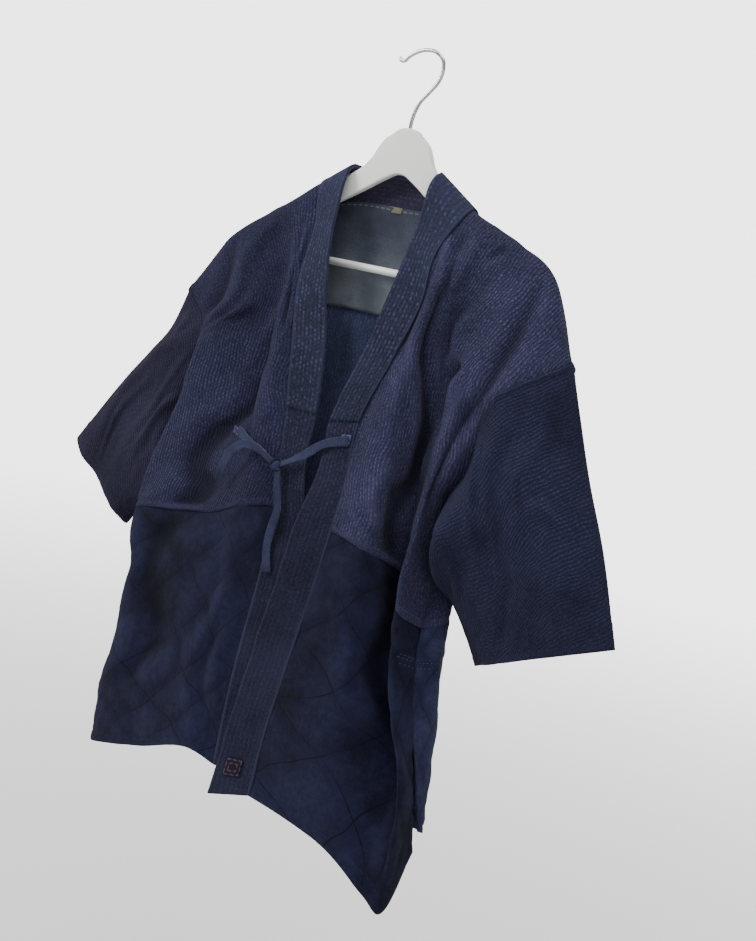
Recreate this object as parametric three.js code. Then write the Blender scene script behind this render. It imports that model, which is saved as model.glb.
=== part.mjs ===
// A quilted indigo cotton kimono jacket, hanging on a flat hanger, in millimetres with +Z up.
// The origin is under the crown of the hook. +X is the wearer's left, and the fronts face -Y.
import * as THREE from "three";

// Cloth thicknesses and the width of a seam
const BODY_WALL = 2.6;
const SKIRT_WALL = 2.0;
const BAND_WALL = 3.6;
const OVER_COLLAR_WALL = 1.2;
const LINING_WALL = 1.2;
const PATCH_WALL = 1.0;
const SEAM_GAP = 0.4;
const LAYER_GAP = 0.3;
const DIAMOND_RISE = 1.0;

// Radius of the fold where the cloth lies over the hanger's arms
const SHOULDER_ROLL = 8;
const SHOULDER_DIP = 4;

// Cloth distance from the shoulder fold to each row of the tables, the same in front and behind
const ROW_AT = [10, 55, 125, 195, 265, 330, 392, 475, 550, 630, 705];
const NECK_ROW = 55;
const ARMPIT = 330;
const WAIST = 392;
const VENT = 560;
const HEM = 705;
const OVER_COLLAR_END = 268;

// Cloth distance from the neck line to each fold line, outwards: centre back and mid back are negative
const FOLD_AT = [-100, -50, 0, 38, 85, 138, 185];
const SIDE_EDGE = 185;

// Steps of the grids along and across the cloth
const ROW_STEP = 24;
const FOLD_STEP = 23;

// Top of the shoulder, x and z: neck seam, crest, valley, strip, sleeve seam
const SHOULDER = {
  left: [[104, -168], [142, -183], [176, -197], [222, -227], [266, -314]],
  right: [[-98, -163], [-140, -191], [-172, -211], [-222, -251], [-268, -320]],
};

// Front rows from chest to hem. Columns: z at the collar seam, z at the side edge,
// then x and y of the collar seam, the crest beside it, the valley, the strip and the side edge.
const FRONT = {
  left: [
    [-218, -352, 85, -22, 112, -28, 136, -22, 180, -34, 223, -38],
    [-285, -385, 89, -42, 108, -48, 126, -26, 172, -50, 203, -46],
    [-353, -445, 80, -62, 108, -68, 132, -32, 170, -62, 196, -44],
    [-425, -492, 65, -78, 108, -86, 134, -38, 166, -72, 176, -42],
    [-490, -560, 70, -88, 116, -94, 142, -40, 164, -82, 182, -38],
    [-551, -629, 70, -96, 120, -99, 150, -42, 168, -86, 190, -62],
    [-640, -680, 62, -100, 124, -105, 162, -44, 178, -90, 196, -66],
    [-715, -745, 53, -102, 132, -108, 184, -50, 200, -92, 210, -68],
    [-795, -810, 44, -103, 140, -109, 208, -60, 222, -90, 224, -64],
    [-870, -874, 41, -104, 146, -110, 208, -100, 233, -88, 234, -52],
  ],
  right: [
    [-218, -352, -88, -20, -108, -24, -132, -14, -172, -44, -236, -20],
    [-290, -385, -82, -38, -96, -44, -118, -28, -188, -56, -222, -26],
    [-360, -445, -58, -58, -78, -66, -112, -42, -198, -62, -220, -28],
    [-430, -495, -38, -72, -66, -80, -106, -58, -209, -66, -222, -30],
    [-490, -560, -26, -82, -58, -90, -100, -78, -225, -68, -228, -36],
    [-545, -612, -16, -88, -52, -96, -110, -84, -230, -70, -237, -48],
    [-630, -690, -15, -92, -54, -100, -118, -90, -214, -80, -230, -50],
    [-710, -765, -20, -94, -60, -102, -124, -88, -212, -84, -232, -50],
    [-785, -840, -22, -95, -62, -103, -130, -92, -220, -82, -247, -50],
    [-856, -910, -22, -95, -62, -104, -136, -88, -220, -76, -253, -48],
  ],
};
const FRONT_DROP = [0, 0.1, 0.45, 0.8, 1];
const HEM_DROP = { left: [0, -14, -50, -62, 0], right: [0, 14, 6, 0, 0] };

// Back rows from neck to hem. Columns: z at the centre back, z at the side edge,
// then x and y of the centre, mid back, neck line, fold, outer fold, side and side edge.
const BACK = {
  left: [
    [-180, -352, 0, 18, 52, 17, 98, 13, 140, 12, 184, 14, 212, 16, 226, 14],
    [-272, -385, 0, 14, 52, 12, 98, 12, 142, 8, 180, 14, 200, 18, 206, 18],
    [-350, -445, 0, 10, 52, 8, 98, 10, 142, 4, 178, 10, 194, 16, 199, 14],
    [-425, -500, 0, 8, 52, 6, 98, 9, 142, 2, 174, 6, 190, 8, 194, 0],
    [-500, -560, 0, 6, 52, 4, 100, 8, 144, -2, 172, 2, 190, -12, 182, -38],
    [-568, -629, 0, 5, 52, 3, 102, 7, 146, -4, 176, 0, 208, -44, 190, -62],
    [-645, -680, 0, 4, 54, 2, 106, 7, 152, -5, 184, 0, 212, -44, 196, -66],
    [-722, -745, 0, 4, 56, 1, 110, 8, 158, -5, 192, -2, 222, -46, 212, -67],
    [-800, -805, 0, 4, 58, 0, 114, 8, 164, -5, 200, -4, 231, -44, 227, -62],
    [-880, -850, 0, 4, 60, 0, 118, 8, 170, -5, 206, -6, 233, -38, 236, -49],
  ],
  right: [
    [-180, -352, 0, 18, -52, 17, -98, 13, -142, 12, -190, 14, -226, 16, -238, 12],
    [-272, -385, 0, 14, -52, 12, -100, 12, -146, 8, -190, 14, -218, 18, -226, 14],
    [-350, -445, 0, 10, -54, 8, -104, 10, -150, 4, -190, 10, -216, 14, -222, 10],
    [-425, -500, 0, 8, -54, 6, -106, 9, -152, 2, -190, 6, -216, 8, -222, 0],
    [-500, -560, 0, 6, -56, 4, -110, 8, -158, -2, -196, 2, -222, -8, -228, -36],
    [-568, -612, 0, 5, -56, 3, -112, 7, -162, -4, -204, 0, -232, -20, -237, -48],
    [-645, -690, 0, 4, -56, 2, -112, 7, -162, -5, -200, 0, -224, -22, -230, -50],
    [-722, -765, 0, 4, -58, 1, -116, 8, -166, -5, -204, -2, -226, -24, -234, -48],
    [-800, -840, 0, 4, -60, 0, -120, 8, -172, -5, -212, -4, -240, -24, -249, -46],
    [-880, -908, 0, 4, -62, 0, -124, 8, -178, -5, -218, -4, -246, -24, -255, -44],
  ],
};
const BACK_DROP = [0, 0, 0.06, 0.2, 0.5, 0.85, 1];

// Inner edge of the collar band beside each front row, from the shoulder to the hem: x, y, z
const BAND_INNER = {
  left: [
    [52, -8, -138], [47, -14, -196], [47, -38, -266], [43, -59, -338], [29, -81, -432], [33, -90, -487],
    [24, -99, -548], [14, -103, -640], [4, -105, -714], [-5, -106, -794], [-16, -104, -888],
  ],
  right: [
    [-64, -8, -144], [-56, -30, -214], [-37, -46, -287], [-11, -61, -358], [6, -76, -430], [11, -84, -490],
    [26, -88, -545], [30, -91, -632], [26, -93, -712], [24, -93, -787], [24, -93, -858],
  ],
};
// Top edge of the band behind the neck, from the left shoulder to the right
const BAND_BEHIND = [[44, 17, -136], [22, 21, -137], [0, 22, -137], [-26, 21, -138], [-52, 17, -141]];

// Sleeve sections from just past the seam to the cuff. Each goes once round the sleeve:
// top fold, four points down the front, under fold, four points up the back.
const SLEEVE_AT = [0, 45, 125, 210, 300];
const SLEEVE_ROUND_AT = [0, 55, 125, 195, 265, 330, 395, 465, 535, 605];
const SLEEVE_ROUND = 660;
const SLEEVE = {
  left: [
    [[285, -5, -352], [244, -42, -382], [222, -62, -425], [212, -74, -480], [190, -84, -530],
      [192, -44, -575], [206, -4, -535], [222, 8, -484], [240, 12, -430], [256, 12, -384]],
    [[318, -10, -424], [286, -44, -438], [262, -56, -474], [248, -64, -520], [216, -66, -566],
      [208, -30, -598], [228, -6, -566], [250, 2, -526], [274, 6, -482], [294, 6, -444]],
    [[358, -16, -500], [332, -42, -516], [302, -50, -538], [274, -52, -572], [240, -46, -612],
      [228, -25, -626], [250, -8, -602], [276, -2, -572], [304, 2, -542], [330, 2, -518]],
    [[396, -20, -593], [364, -38, -606], [326, -43, -622], [290, -40, -638], [262, -32, -650],
      [246, -20, -657], [268, -6, -646], [300, -2, -632], [334, -1, -618], [368, -3, -604]],
  ],
  right: [
    [[-283, -4, -368], [-262, -30, -384], [-248, -38, -424], [-240, -42, -470], [-236, -42, -530],
      [-238, -30, -580], [-238, -6, -540], [-242, 4, -490], [-252, 8, -436], [-266, 8, -388]],
    [[-308, -10, -412], [-292, -34, -430], [-276, -38, -466], [-262, -44, -510], [-252, -40, -562],
      [-250, -26, -596], [-254, -6, -564], [-264, 0, -524], [-280, 4, -474], [-296, 4, -432]],
    [[-346, -14, -466], [-334, -34, -484], [-318, -34, -512], [-298, -38, -544], [-280, -36, -590],
      [-272, -22, -612], [-280, -8, -584], [-296, -2, -552], [-316, 0, -514], [-336, 0, -482]],
    [[-396, -20, -548], [-372, -34, -566], [-346, -30, -584], [-322, -34, -604], [-300, -32, -624],
      [-290, -20, -634], [-302, -8, -618], [-324, -5, -600], [-350, -4, -580], [-376, -6, -562]],
  ],
};

// Lining behind the neck: cloth distance from the shoulder fold to its lower edge
const LINING_END = 155;

// Label at the neck seam: middle and size
const LABEL_AT = [-6, 13.6, -182.5];
const LABEL_SIZE = [18, 1, 7];

// Patches, each by its two upright sides on the wall under it: distance across, then along at both ends.
// On the band, across is counted from the seam to the inner edge, as a share of its width.
const PATCH_OFF = 0.45;
const PATCHES = {
  tie_patch_right: { on: "body_right", sides: [[73, -298, -290], [91, -282, -273]] },
  tie_patch_left: { on: "collar_band", sides: [[0.06, 281, 292], [0.4, 281, 292]] },
  band_patch: { on: "collar_band", sides: [[0.32, 666, 684], [0.74, 666, 684]] },
};

// Ties: width, thickness and the middle lines, each from its sewn end to its free end or the knot
const TIE_WIDTH = 11;
const TIE_WALL = 2;
const TIE_STEP = 8;
const KNOT_AT = [-22, -95, -497];
const KNOT_SIZE = [14, 10, 12];
const TIES = {
  tie_right_held: [
    [-102, -72, -473], [-91, -78.4, -474], [-77, -87, -478], [-64, -92.2, -482], [-48, -94, -487], [-28.8, -94.8, -495],
  ],
  tie_right_end: [
    [-18.8, -95, -502.8], [-14, -96, -521], [-7, -97, -545], [-9, -98, -568], [-10, -98, -587], [-4, -97, -618],
  ],
  tie_left_held: [[62, -87.6, -449], [53, -89, -451], [35, -93, -458], [14, -95, -475], [-15.9, -95, -493.4]],
  tie_left_end: [
    [-26.3, -98.5, -493.4], [-46, -104, -482], [-69, -105, -483], [-83, -102, -496], [-91, -98, -509], [-97, -93, -530],
  ],
};

// Hanger: plate thickness and outline, trouser bar and hook wire. The outline is the +X half in x and z:
// over the neck, along under the shoulder fold, round the tip, and back under the arm past the bar's lug.
const PLATE_WALL = 10;
const PLATE_ROUND = 2;
const PLATE_TOP = [
  [12, -91], [20, -97], [30, -105], [37, -117], [42, -127], [46, -132.6], [52, -139.6], [66, -149.8], [104, -173.8],
  [142, -195.8], [176, -217.8], [204, -239.8],
];
const PLATE_TIP = [[213, -252], [215, -261], [210, -269], [200, -269]];
const PLATE_UNDER = [
  [190, -262], [189, -266], [184, -269], [179, -266], [178, -246], [140, -222], [79, -186], [45, -166], [18, -149],
  [6, -143],
];
const BAR_RADIUS = 4.5;
const BAR_Z = -255;
const BAR_HALF = 177.5;
const WIRE_RADIUS = 2.2;
const WIRE_SIDES = 10;
const HOOK_LINE = [
  [-1, -90.6], [0, -74], [5, -58], [15, -45], [24, -32], [27, -19], [24, -7], [14, 0.5], [0, 2.2],
  [-12, -1], [-22, -7], [-29, -13], [-33, -12], [-34, -8],
];

const CLOTH = { upper: 0x3b3d66, skirt: 0x23253f, band: 0x33365a, lining: 0x5a6772, tie: 0x474c6b };
const finish = (color, roughness, metalness = 0) => new THREE.MeshStandardMaterial({ color, roughness, metalness });
const upperCotton = finish(CLOTH.upper, 0.9);
const skirtCotton = finish(CLOTH.skirt, 0.9);
const bandCotton = finish(CLOTH.band, 0.9);
const liningCotton = finish(CLOTH.lining, 0.9);
const tieCotton = finish(CLOTH.tie, 0.9);
const labelCloth = finish(0xcfc8b4, 0.85);
const patchCloth = finish(0x3a2430, 0.85);
const hangerPlastic = finish(0xdfe1e3, 0.4);
const chromeWire = finish(0xb8babd, 0.2, 1);

const group = new THREE.Group();

const add3 = (a, b, k = 1) => [a[0] + b[0] * k, a[1] + b[1] * k, a[2] + b[2] * k];
const sub3 = (a, b) => add3(a, b, -1);
const length3 = (a) => Math.hypot(a[0], a[1], a[2]);
const unit3 = (a) => {
  const size = length3(a) || 1;
  return [a[0] / size, a[1] / size, a[2] / size];
};
const cross3 = (a, b) => [a[1] * b[2] - a[2] * b[1], a[2] * b[0] - a[0] * b[2], a[0] * b[1] - a[1] * b[0]];
const range = (from, to, step) => {
  const count = Math.max(1, Math.round(Math.abs(to - from) / step));
  return Array.from({ length: count + 1 }, (_, i) => from + ((to - from) * i) / count);
};

// A smooth curve through points at unevenly spaced stations: a cubic between each two,
// whose slope at a point is the mean of its neighbours' slopes, weighted to the nearer one.
function curveAt(points, at, t, period = 0) {
  const last = points.length - 1;
  const station = (i) => {
    if (!period) return at[i];
    const turn = Math.floor(i / points.length);
    return at[i - turn * points.length] + turn * period;
  };
  const point = (i) => points[period ? (i + points.length) % points.length : i];
  let i = 0;
  while (i < (period ? last : last - 1) && t > station(i + 1)) i++;
  const chord = (k) => {
    const a = point(k);
    const b = point(k + 1);
    const h = station(k + 1) - station(k);
    return a.map((v, n) => (b[n] - v) / h);
  };
  const slope = (k) => {
    const isEnd = !period && (k === 0 || k === last);
    if (isEnd) return chord(k === 0 ? 0 : last - 1);
    const before = station(k) - station(k - 1);
    const after = station(k + 1) - station(k);
    const c0 = chord(k - 1);
    const c1 = chord(k);
    return c0.map((v, n) => (v * after + c1[n] * before) / (before + after));
  };
  const h = station(i + 1) - station(i);
  const f = (t - station(i)) / h;
  const p0 = point(i);
  const p1 = point(i + 1);
  const m0 = slope(i);
  const m1 = slope(i + 1);
  const a = 2 * f ** 3 - 3 * f ** 2 + 1;
  const b = (f ** 3 - 2 * f ** 2 + f) * h;
  const c = -2 * f ** 3 + 3 * f ** 2;
  const d = (f ** 3 - f ** 2) * h;
  return p0.map((v, n) => v * a + m0[n] * b + p1[n] * c + m1[n] * d);
}

// Guide points of one half of the garment, from the front hem over the shoulder to the back hem.
// Each row has seven points, and the two beyond the neck line only carry on the back's lines in front.
function halfNet(side) {
  const sign = side === "left" ? 1 : -1;
  const front = FRONT[side].map((row, r) => {
    const isHem = r === FRONT[side].length - 1;
    return FRONT_DROP.map((drop, k) => {
      const z = row[0] + (row[1] - row[0]) * drop + (isHem ? HEM_DROP[side][k] : 0);
      return [row[2 + 2 * k], row[3 + 2 * k], z];
    });
  });
  const back = BACK[side].map((row) =>
    BACK_DROP.map((drop, k) => [row[2 + 2 * k], row[3 + 2 * k], row[0] + (row[1] - row[0]) * drop]),
  );
  const ridge = (y, dip) => SHOULDER[side].map(([x, z]) => [x, y, z - dip]);
  const beyond = (points) => [add3(points[0], [-100 * sign, 0, 0]), add3(points[0], [-50 * sign, 0, 0]), ...points];
  const carried = (steps) => [0, 1].map((k) => add3(back[0][k], sub3(back[0][k], back[1][k]), steps));
  const rows = [
    ...front.slice().reverse().map(beyond),
    beyond(ridge(-SHOULDER_ROLL, SHOULDER_DIP)),
    [...carried(0.8), ...ridge(0, 0)],
    [...carried(0.6), ...ridge(SHOULDER_ROLL, SHOULDER_DIP)],
    ...back,
  ];
  const at = [...ROW_AT.map((v) => -v).reverse(), 0, ...ROW_AT];
  return { rows, at };
}

// A point of a half at cloth distances across and along
function halfPoint(net, across, along) {
  const line = FOLD_AT.map((_, k) => curveAt(net.rows.map((row) => row[k]), net.at, along));
  return curveAt(line, FOLD_AT, across);
}

// Every cloth wall is first a grid of middle points with a mask of its cells. Walls that share seam points
// take the same direction there, so that their edges stand parallel, a seam's gap apart.
const walls = [];
const plain = { has: () => true, closed: false, flip: false, rise: null, parity: 0 };
function wall(name, points, material, thickness, options = {}) {
  walls.push({ name, points, material, thickness, ...plain, ...options });
}

const cellsOf = (w) => {
  const rows = w.points.length - 1;
  const columns = w.points[0].length - (w.closed ? 0 : 1);
  return { rows, columns };
};
const columnOf = (w, j) => (w.closed ? (j + w.points[0].length) % w.points[0].length : j);
const hasCell = (w, i, j) => {
  const { rows, columns } = cellsOf(w);
  if (i < 0 || i >= rows) return false;
  if (!w.closed && (j < 0 || j >= columns)) return false;
  return w.has(i, columnOf(w, j));
};

function directions(w) {
  const { rows, columns } = cellsOf(w);
  const sums = w.points.map((row) => row.map(() => [0, 0, 0]));
  for (let i = 0; i < rows; i++) {
    for (let j = 0; j < columns; j++) {
      if (!hasCell(w, i, j)) continue;
      const corners = [[i, j], [i + 1, j], [i + 1, columnOf(w, j + 1)], [i, columnOf(w, j + 1)]];
      const [a, b, c, d] = corners.map(([r, k]) => w.points[r][k]);
      const facing = unit3(cross3(sub3(c, a), sub3(d, b)));
      for (const [r, k] of corners) sums[r][k] = add3(sums[r][k], facing, w.flip ? -1 : 1);
    }
  }
  return sums;
}

const keyOf = (p) => p.map((v) => Math.round(v * 20)).join(",");

function shareSeams() {
  const shared = new Map();
  for (const w of walls) {
    w.facing = directions(w);
    w.points.forEach((row, i) => row.forEach((p, j) => {
      const key = keyOf(p);
      shared.set(key, add3(shared.get(key) || [0, 0, 0], w.facing[i][j]));
    }));
  }
  for (const w of walls) {
    w.facing = w.points.map((row) => row.map((p) => unit3(shared.get(keyOf(p)))));
  }
}

const gridPoint = (w, [i, j]) => w.points[i][columnOf(w, j)];
// Rims on both sides of a seam are split the same way: their diagonals start outside at the lower point
const isLower = (p, q) => (p[2] === q[2] ? p[0] < q[0] : p[2] < q[2]);

// Turns a grid into one closed solid: two faces half a thickness out and in, and a rim along every free edge
function solidOf(w) {
  const { rows, columns } = cellsOf(w);
  const width = w.points[0].length;
  const positions = [];
  const index = new Map();
  const inward = (i, j) => {
    const steps = [[-1, 0], [1, 0], [0, -1], [0, 1]];
    const cellsBeside = steps.map(([di, dj]) => {
      const beside = di ? [[di, -1], [di, 1]] : [[-1, dj], [1, dj]];
      return beside.filter(([a, b]) => hasCell(w, i + Math.min(a, 0), j + Math.min(b, 0))).length;
    });
    if (cellsBeside.every((count) => count === 2)) return [0, 0, 0];
    const most = Math.max(...cellsBeside);
    const ways = steps.filter((_, k) => cellsBeside[k] === most);
    const to = ways.map(([di, dj]) => unit3(sub3(w.points[i + di][columnOf(w, j + dj)], w.points[i][j])));
    return unit3(to.reduce((a, b) => add3(a, b), [0, 0, 0]));
  };
  const vertex = (i, jj, layer) => {
    const j = columnOf(w, jj);
    const key = (i * width + j) * 2 + layer;
    if (!index.has(key)) {
      const trimmed = add3(w.points[i][j], inward(i, j), SEAM_GAP / 2);
      const raise = layer && w.rise ? w.rise(i, j) : 0;
      const out = layer ? w.thickness / 2 + raise : -w.thickness / 2;
      index.set(key, positions.length / 3);
      positions.push(...add3(trimmed, w.facing[i][j], out));
    }
    return index.get(key);
  };
  const faces = [];
  const quad = (a, b, c, d, turned, other) => {
    const split = other ? [[a, b, d], [b, c, d]] : [[a, b, c], [a, c, d]];
    for (const [p, q, r] of split) faces.push(...(turned ? [p, r, q] : [p, q, r]));
  };
  for (let i = 0; i < rows; i++) {
    for (let j = 0; j < columns; j++) {
      if (!hasCell(w, i, j)) continue;
      for (const layer of [1, 0]) {
        const [a, b, c, d] = [[i, j], [i + 1, j], [i + 1, j + 1], [i, j + 1]].map(([r, k]) => vertex(r, k, layer));
        quad(a, b, c, d, (layer === 0) !== w.flip, (i + j + w.parity) % 2 === 1);
      }
      const rims = [
        [i - 1, j, [i, j], [i, j + 1]], [i + 1, j, [i + 1, j + 1], [i + 1, j]],
        [i, j - 1, [i + 1, j], [i, j]], [i, j + 1, [i, j + 1], [i + 1, j + 1]],
      ];
      for (const [ni, nj, from, to] of rims) {
        if (hasCell(w, ni, nj)) continue;
        const other = isLower(gridPoint(w, to), gridPoint(w, from));
        quad(vertex(...from, 1), vertex(...to, 1), vertex(...to, 0), vertex(...from, 0), w.flip, other);
      }
    }
  }
  const geometry = new THREE.BufferGeometry();
  geometry.setAttribute("position", new THREE.Float32BufferAttribute(positions, 3));
  geometry.setIndex(faces);
  geometry.computeVertexNormals();
  return geometry;
}

function addMesh(name, geometry, material) {
  const mesh = new THREE.Mesh(geometry, material);
  mesh.name = name;
  group.add(mesh);
  return mesh;
}

// Stations along one half: hem to waist, waist to armpit, armhole, shoulder roll, and the same behind
const upperRows = [
  ...range(-WAIST, -ARMPIT, 31).slice(0, -1), ...range(-ARMPIT, -NECK_ROW, ROW_STEP).slice(0, -1),
  -NECK_ROW, -30, -SHOULDER_ROLL - 2, -5, 0, 5, SHOULDER_ROLL + 2, 30,
  ...range(NECK_ROW, ARMPIT, ROW_STEP), ...range(ARMPIT, WAIST, 31).slice(1),
];
const skirtRows = range(-HEM, -WAIST, 28);
const behindFolds = range(FOLD_AT[0], 0, FOLD_STEP).slice(0, -1);
const outerFolds = range(0, SIDE_EDGE, FOLD_STEP);
const allFolds = [...behindFolds, ...outerFolds];

// Diamond quilting: alternate grid points stand proud, and the lines between the others are the stitching
const diamond = (i, j) => ((i + j) % 2 === 0 ? DIAMOND_RISE : 0);

// The side seam: the back takes the front's own edge points, from the armpit down to the vent
function joinSides(front, frontRows, back, backRows) {
  backRows.forEach((along, i) => {
    if (along < ARMPIT || along > VENT) return;
    const match = frontRows.indexOf(-along);
    back[i][back[i].length - 1] = front[match][front[match].length - 1];
  });
}

function halfWalls(side) {
  const net = halfNet(side);
  const flip = side === "left";
  const gridOf = (rows, folds) => rows.map((along) => folds.map((across) => halfPoint(net, across, along)));
  const body = gridOf(upperRows, allFolds);
  joinSides(body, upperRows, body, upperRows);
  const hasBody = (i, j) => j >= behindFolds.length || upperRows[i] >= NECK_ROW;
  wall(`body_${side}`, body, upperCotton, BODY_WALL, { has: hasBody, flip });
  const backRows = skirtRows.map((v) => -v).reverse();
  const front = gridOf(skirtRows, outerFolds);
  const back = gridOf(backRows, allFolds);
  joinSides(front, skirtRows, back, backRows);
  wall(`skirt_front_${side}`, front, skirtCotton, SKIRT_WALL, { flip, rise: diamond });
  wall(`skirt_back_${side}`, back, skirtCotton, SKIRT_WALL, { flip, rise: diamond });
  return { net, body };
}

// The sleeve starts on the body's own edge points and goes to the cuff through its sections
function sleeveWall(side, body) {
  const first = upperRows.indexOf(-ARMPIT);
  const end = upperRows.indexOf(ARMPIT);
  const top = upperRows.indexOf(0);
  const order = [
    ...Array.from({ length: top - first + 1 }, (_, k) => top - k),
    ...Array.from({ length: end - top - 1 }, (_, k) => end - 1 - k),
  ];
  const stations = range(0, SLEEVE_AT[4], 27);
  const columns = order.map((row) => {
    const along = upperRows[row];
    const round = along <= 0 ? -along : SLEEVE_ROUND - along;
    const root = body[row][body[row].length - 1];
    const guides = [root, ...SLEEVE[side].map((ring) => curveAt(ring, SLEEVE_ROUND_AT, round, SLEEVE_ROUND))];
    return stations.map((s) => curveAt(guides, SLEEVE_AT, s));
  });
  const points = stations.map((_, i) => columns.map((column) => column[i]));
  wall(`sleeve_${side}`, points, upperCotton, BODY_WALL, { closed: true, flip: side === "left" });
}

// Seam and inner edge of the band at a cloth distance along one front
function bandPair(net, side, along) {
  const at = [0, ...ROW_AT];
  const top = add3(BAND_INNER[side][0], [0, SHOULDER_ROLL, SHOULDER_DIP]);
  return [halfPoint(net, 0, -along), curveAt([top, ...BAND_INNER[side]], at, along)];
}

const left = halfWalls("left");
const right = halfWalls("right");
sleeveWall("left", left.body);
sleeveWall("right", right.body);

// The band runs from the left hem up round the neck and down to the right hem. Its rows are the fronts' rows.
const frontRows = [...skirtRows.slice(0, -1), ...upperRows.filter((v) => v < 0)].map((v) => -v);
const neckRows = upperRows.filter((v) => v >= 0 && v <= NECK_ROW);
function neckPairs() {
  const seams = [
    ...neckRows.map((v) => halfPoint(left.net, 0, v)),
    ...behindFolds.slice().reverse().map((u) => halfPoint(left.net, u, NECK_ROW)),
    ...behindFolds.slice(1).map((u) => halfPoint(right.net, u, NECK_ROW)),
    ...neckRows.slice().reverse().map((v) => halfPoint(right.net, 0, v)),
  ];
  const tops = [
    add3(BAND_INNER.left[0], [0, SHOULDER_ROLL, SHOULDER_DIP]),
    ...BAND_BEHIND,
    add3(BAND_INNER.right[0], [0, SHOULDER_ROLL, SHOULDER_DIP]),
  ];
  const lengths = [0];
  seams.slice(1).forEach((p, i) => lengths.push(lengths[i] + length3(sub3(p, seams[i]))));
  const whole = lengths[lengths.length - 1];
  const stations = tops.map((_, k) => (whole * k) / (tops.length - 1));
  return seams.map((seam, i) => [seam, curveAt(tops, stations, lengths[i])]);
}
const bandPairs = [
  ...frontRows.map((v) => bandPair(left.net, "left", v)),
  ...neckPairs(),
  ...frontRows.slice().reverse().map((v) => bandPair(right.net, "right", v)),
];
const bandGrid = bandPairs.map(([seam, inner]) => [0, 0.5, 1].map((k) => add3(seam, sub3(inner, seam), k)));
wall("collar_band", bandGrid, bandCotton, BAND_WALL);

shareSeams();

const PATCH_COTTON = { tie_patch_right: tieCotton, tie_patch_left: tieCotton, band_patch: patchCloth };
const wallNamed = (name) => walls.find((w) => w.name === name);
const middles = (a, b, k) => add3(a, sub3(b, a), k);

// A piece that lies on walls already made. It takes no part in the seams.
function layer(name, points, material, thickness, options = {}) {
  const added = { name, points, material, thickness, ...plain, ...options };
  added.facing = directions(added).map((row) => row.map(unit3));
  walls.push(added);
}

// A wall's own middle points moved out or in along their directions, by a gap and both half thicknesses
function movedOut(name, rows, columns, thickness, out) {
  const under = wallNamed(name);
  const step = out * ((under.thickness + thickness) / 2 + LAYER_GAP);
  return rows.map((i) => columns.map((j) => add3(under.points[i][j], under.facing[i][j], step)));
}

// The over-collar covers the band behind the neck and down to the chest
const overRows = bandPairs.map((_, i) => i).filter((i) => {
  const fromLeft = frontRows[i] ?? 0;
  const fromRight = frontRows[bandPairs.length - 1 - i] ?? 0;
  return Math.max(fromLeft, fromRight) <= OVER_COLLAR_END;
});
const overGrid = movedOut("collar_band", overRows, [0, 1, 2], OVER_COLLAR_WALL, 1);
layer("over_collar", overGrid, bandCotton, OVER_COLLAR_WALL, { parity: overRows[0] % 2 });

// The lining hangs inside the back from the neck seam, on both halves
const liningRows = upperRows.map((_, i) => i).filter((i) => upperRows[i] >= NECK_ROW && upperRows[i] <= LINING_END);
const liningColumns = Array.from({ length: behindFolds.length + 1 }, (_, j) => j);
const liningLeft = movedOut("body_left", liningRows, liningColumns, LINING_WALL, -1);
const liningRight = movedOut("body_right", liningRows, liningColumns, LINING_WALL, -1);
const liningGrid = liningRight.map((row, i) => [...row.slice(1).reverse(), ...liningLeft[i]]);
layer("yoke_lining", liningGrid, liningCotton, LINING_WALL, { flip: true, parity: liningRows[0] % 2 });

// A place on a wall's outer face, between its grid points
function faceAt(w, i, j) {
  const row = Math.min(Math.floor(i), w.points.length - 2);
  const column = Math.min(Math.floor(j), w.points[0].length - 2);
  const outer = (r, k) => add3(w.points[r][k], w.facing[r][k], w.thickness / 2);
  const upper = middles(outer(row, column), outer(row, column + 1), j - column);
  const lower = middles(outer(row + 1, column), outer(row + 1, column + 1), j - column);
  return middles(upper, lower, i - row);
}

// How far along a list of stations a value lies, as an index with its fraction
function indexOf(stations, value) {
  const rises = stations[1] > stations[0];
  const next = stations.findIndex((v) => (rises ? v > value : v < value));
  return next - 1 + (value - stations[next - 1]) / (stations[next] - stations[next - 1]);
}

for (const [name, { on, sides }] of Object.entries(PATCHES)) {
  const under = wallNamed(on);
  const isBand = on === "collar_band";
  const places = sides.map(([across, ...ends]) => {
    const column = isBand ? across * 2 : indexOf(allFolds, across);
    return ends.map((along) => faceAt(under, indexOf(isBand ? frontRows : upperRows, along), column));
  });
  const [[a, b], [c, d]] = places;
  const out = unit3(cross3(sub3(d, a), sub3(c, b)));
  const step = (PATCH_WALL / 2 + PATCH_OFF) * (out[1] > 0 ? -1 : 1);
  layer(name, [[a, c], [b, d]].map((row) => row.map((p) => add3(p, out, step))), PATCH_COTTON[name], PATCH_WALL);
}

// A flat tie: its route in even steps, with its width square to the route and its face to the front
for (const [name, route] of Object.entries(TIES)) {
  const curve = new THREE.CatmullRomCurve3(route.map((p) => new THREE.Vector3(...p)), false, "centripetal");
  const steps = Math.round(curve.getLength() / TIE_STEP);
  const points = Array.from({ length: steps + 1 }, (_, k) => {
    const at = curve.getPointAt(k / steps).toArray();
    const side = unit3(cross3(curve.getTangentAt(k / steps).toArray(), [0, 1, 0]));
    return [-1, 1].map((way) => add3(at, side, (way * TIE_WIDTH) / 2));
  });
  layer(name, points, tieCotton, TIE_WALL);
}

for (const w of walls) addMesh(w.name, solidOf(w), w.material);

const knot = addMesh("tie_knot", new THREE.SphereGeometry(0.5, 14, 10), tieCotton);
knot.scale.set(...KNOT_SIZE);
knot.position.set(...KNOT_AT);

const label = addMesh("neck_label", new THREE.BoxGeometry(...LABEL_SIZE), labelCloth);
label.position.set(...LABEL_AT);

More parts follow.
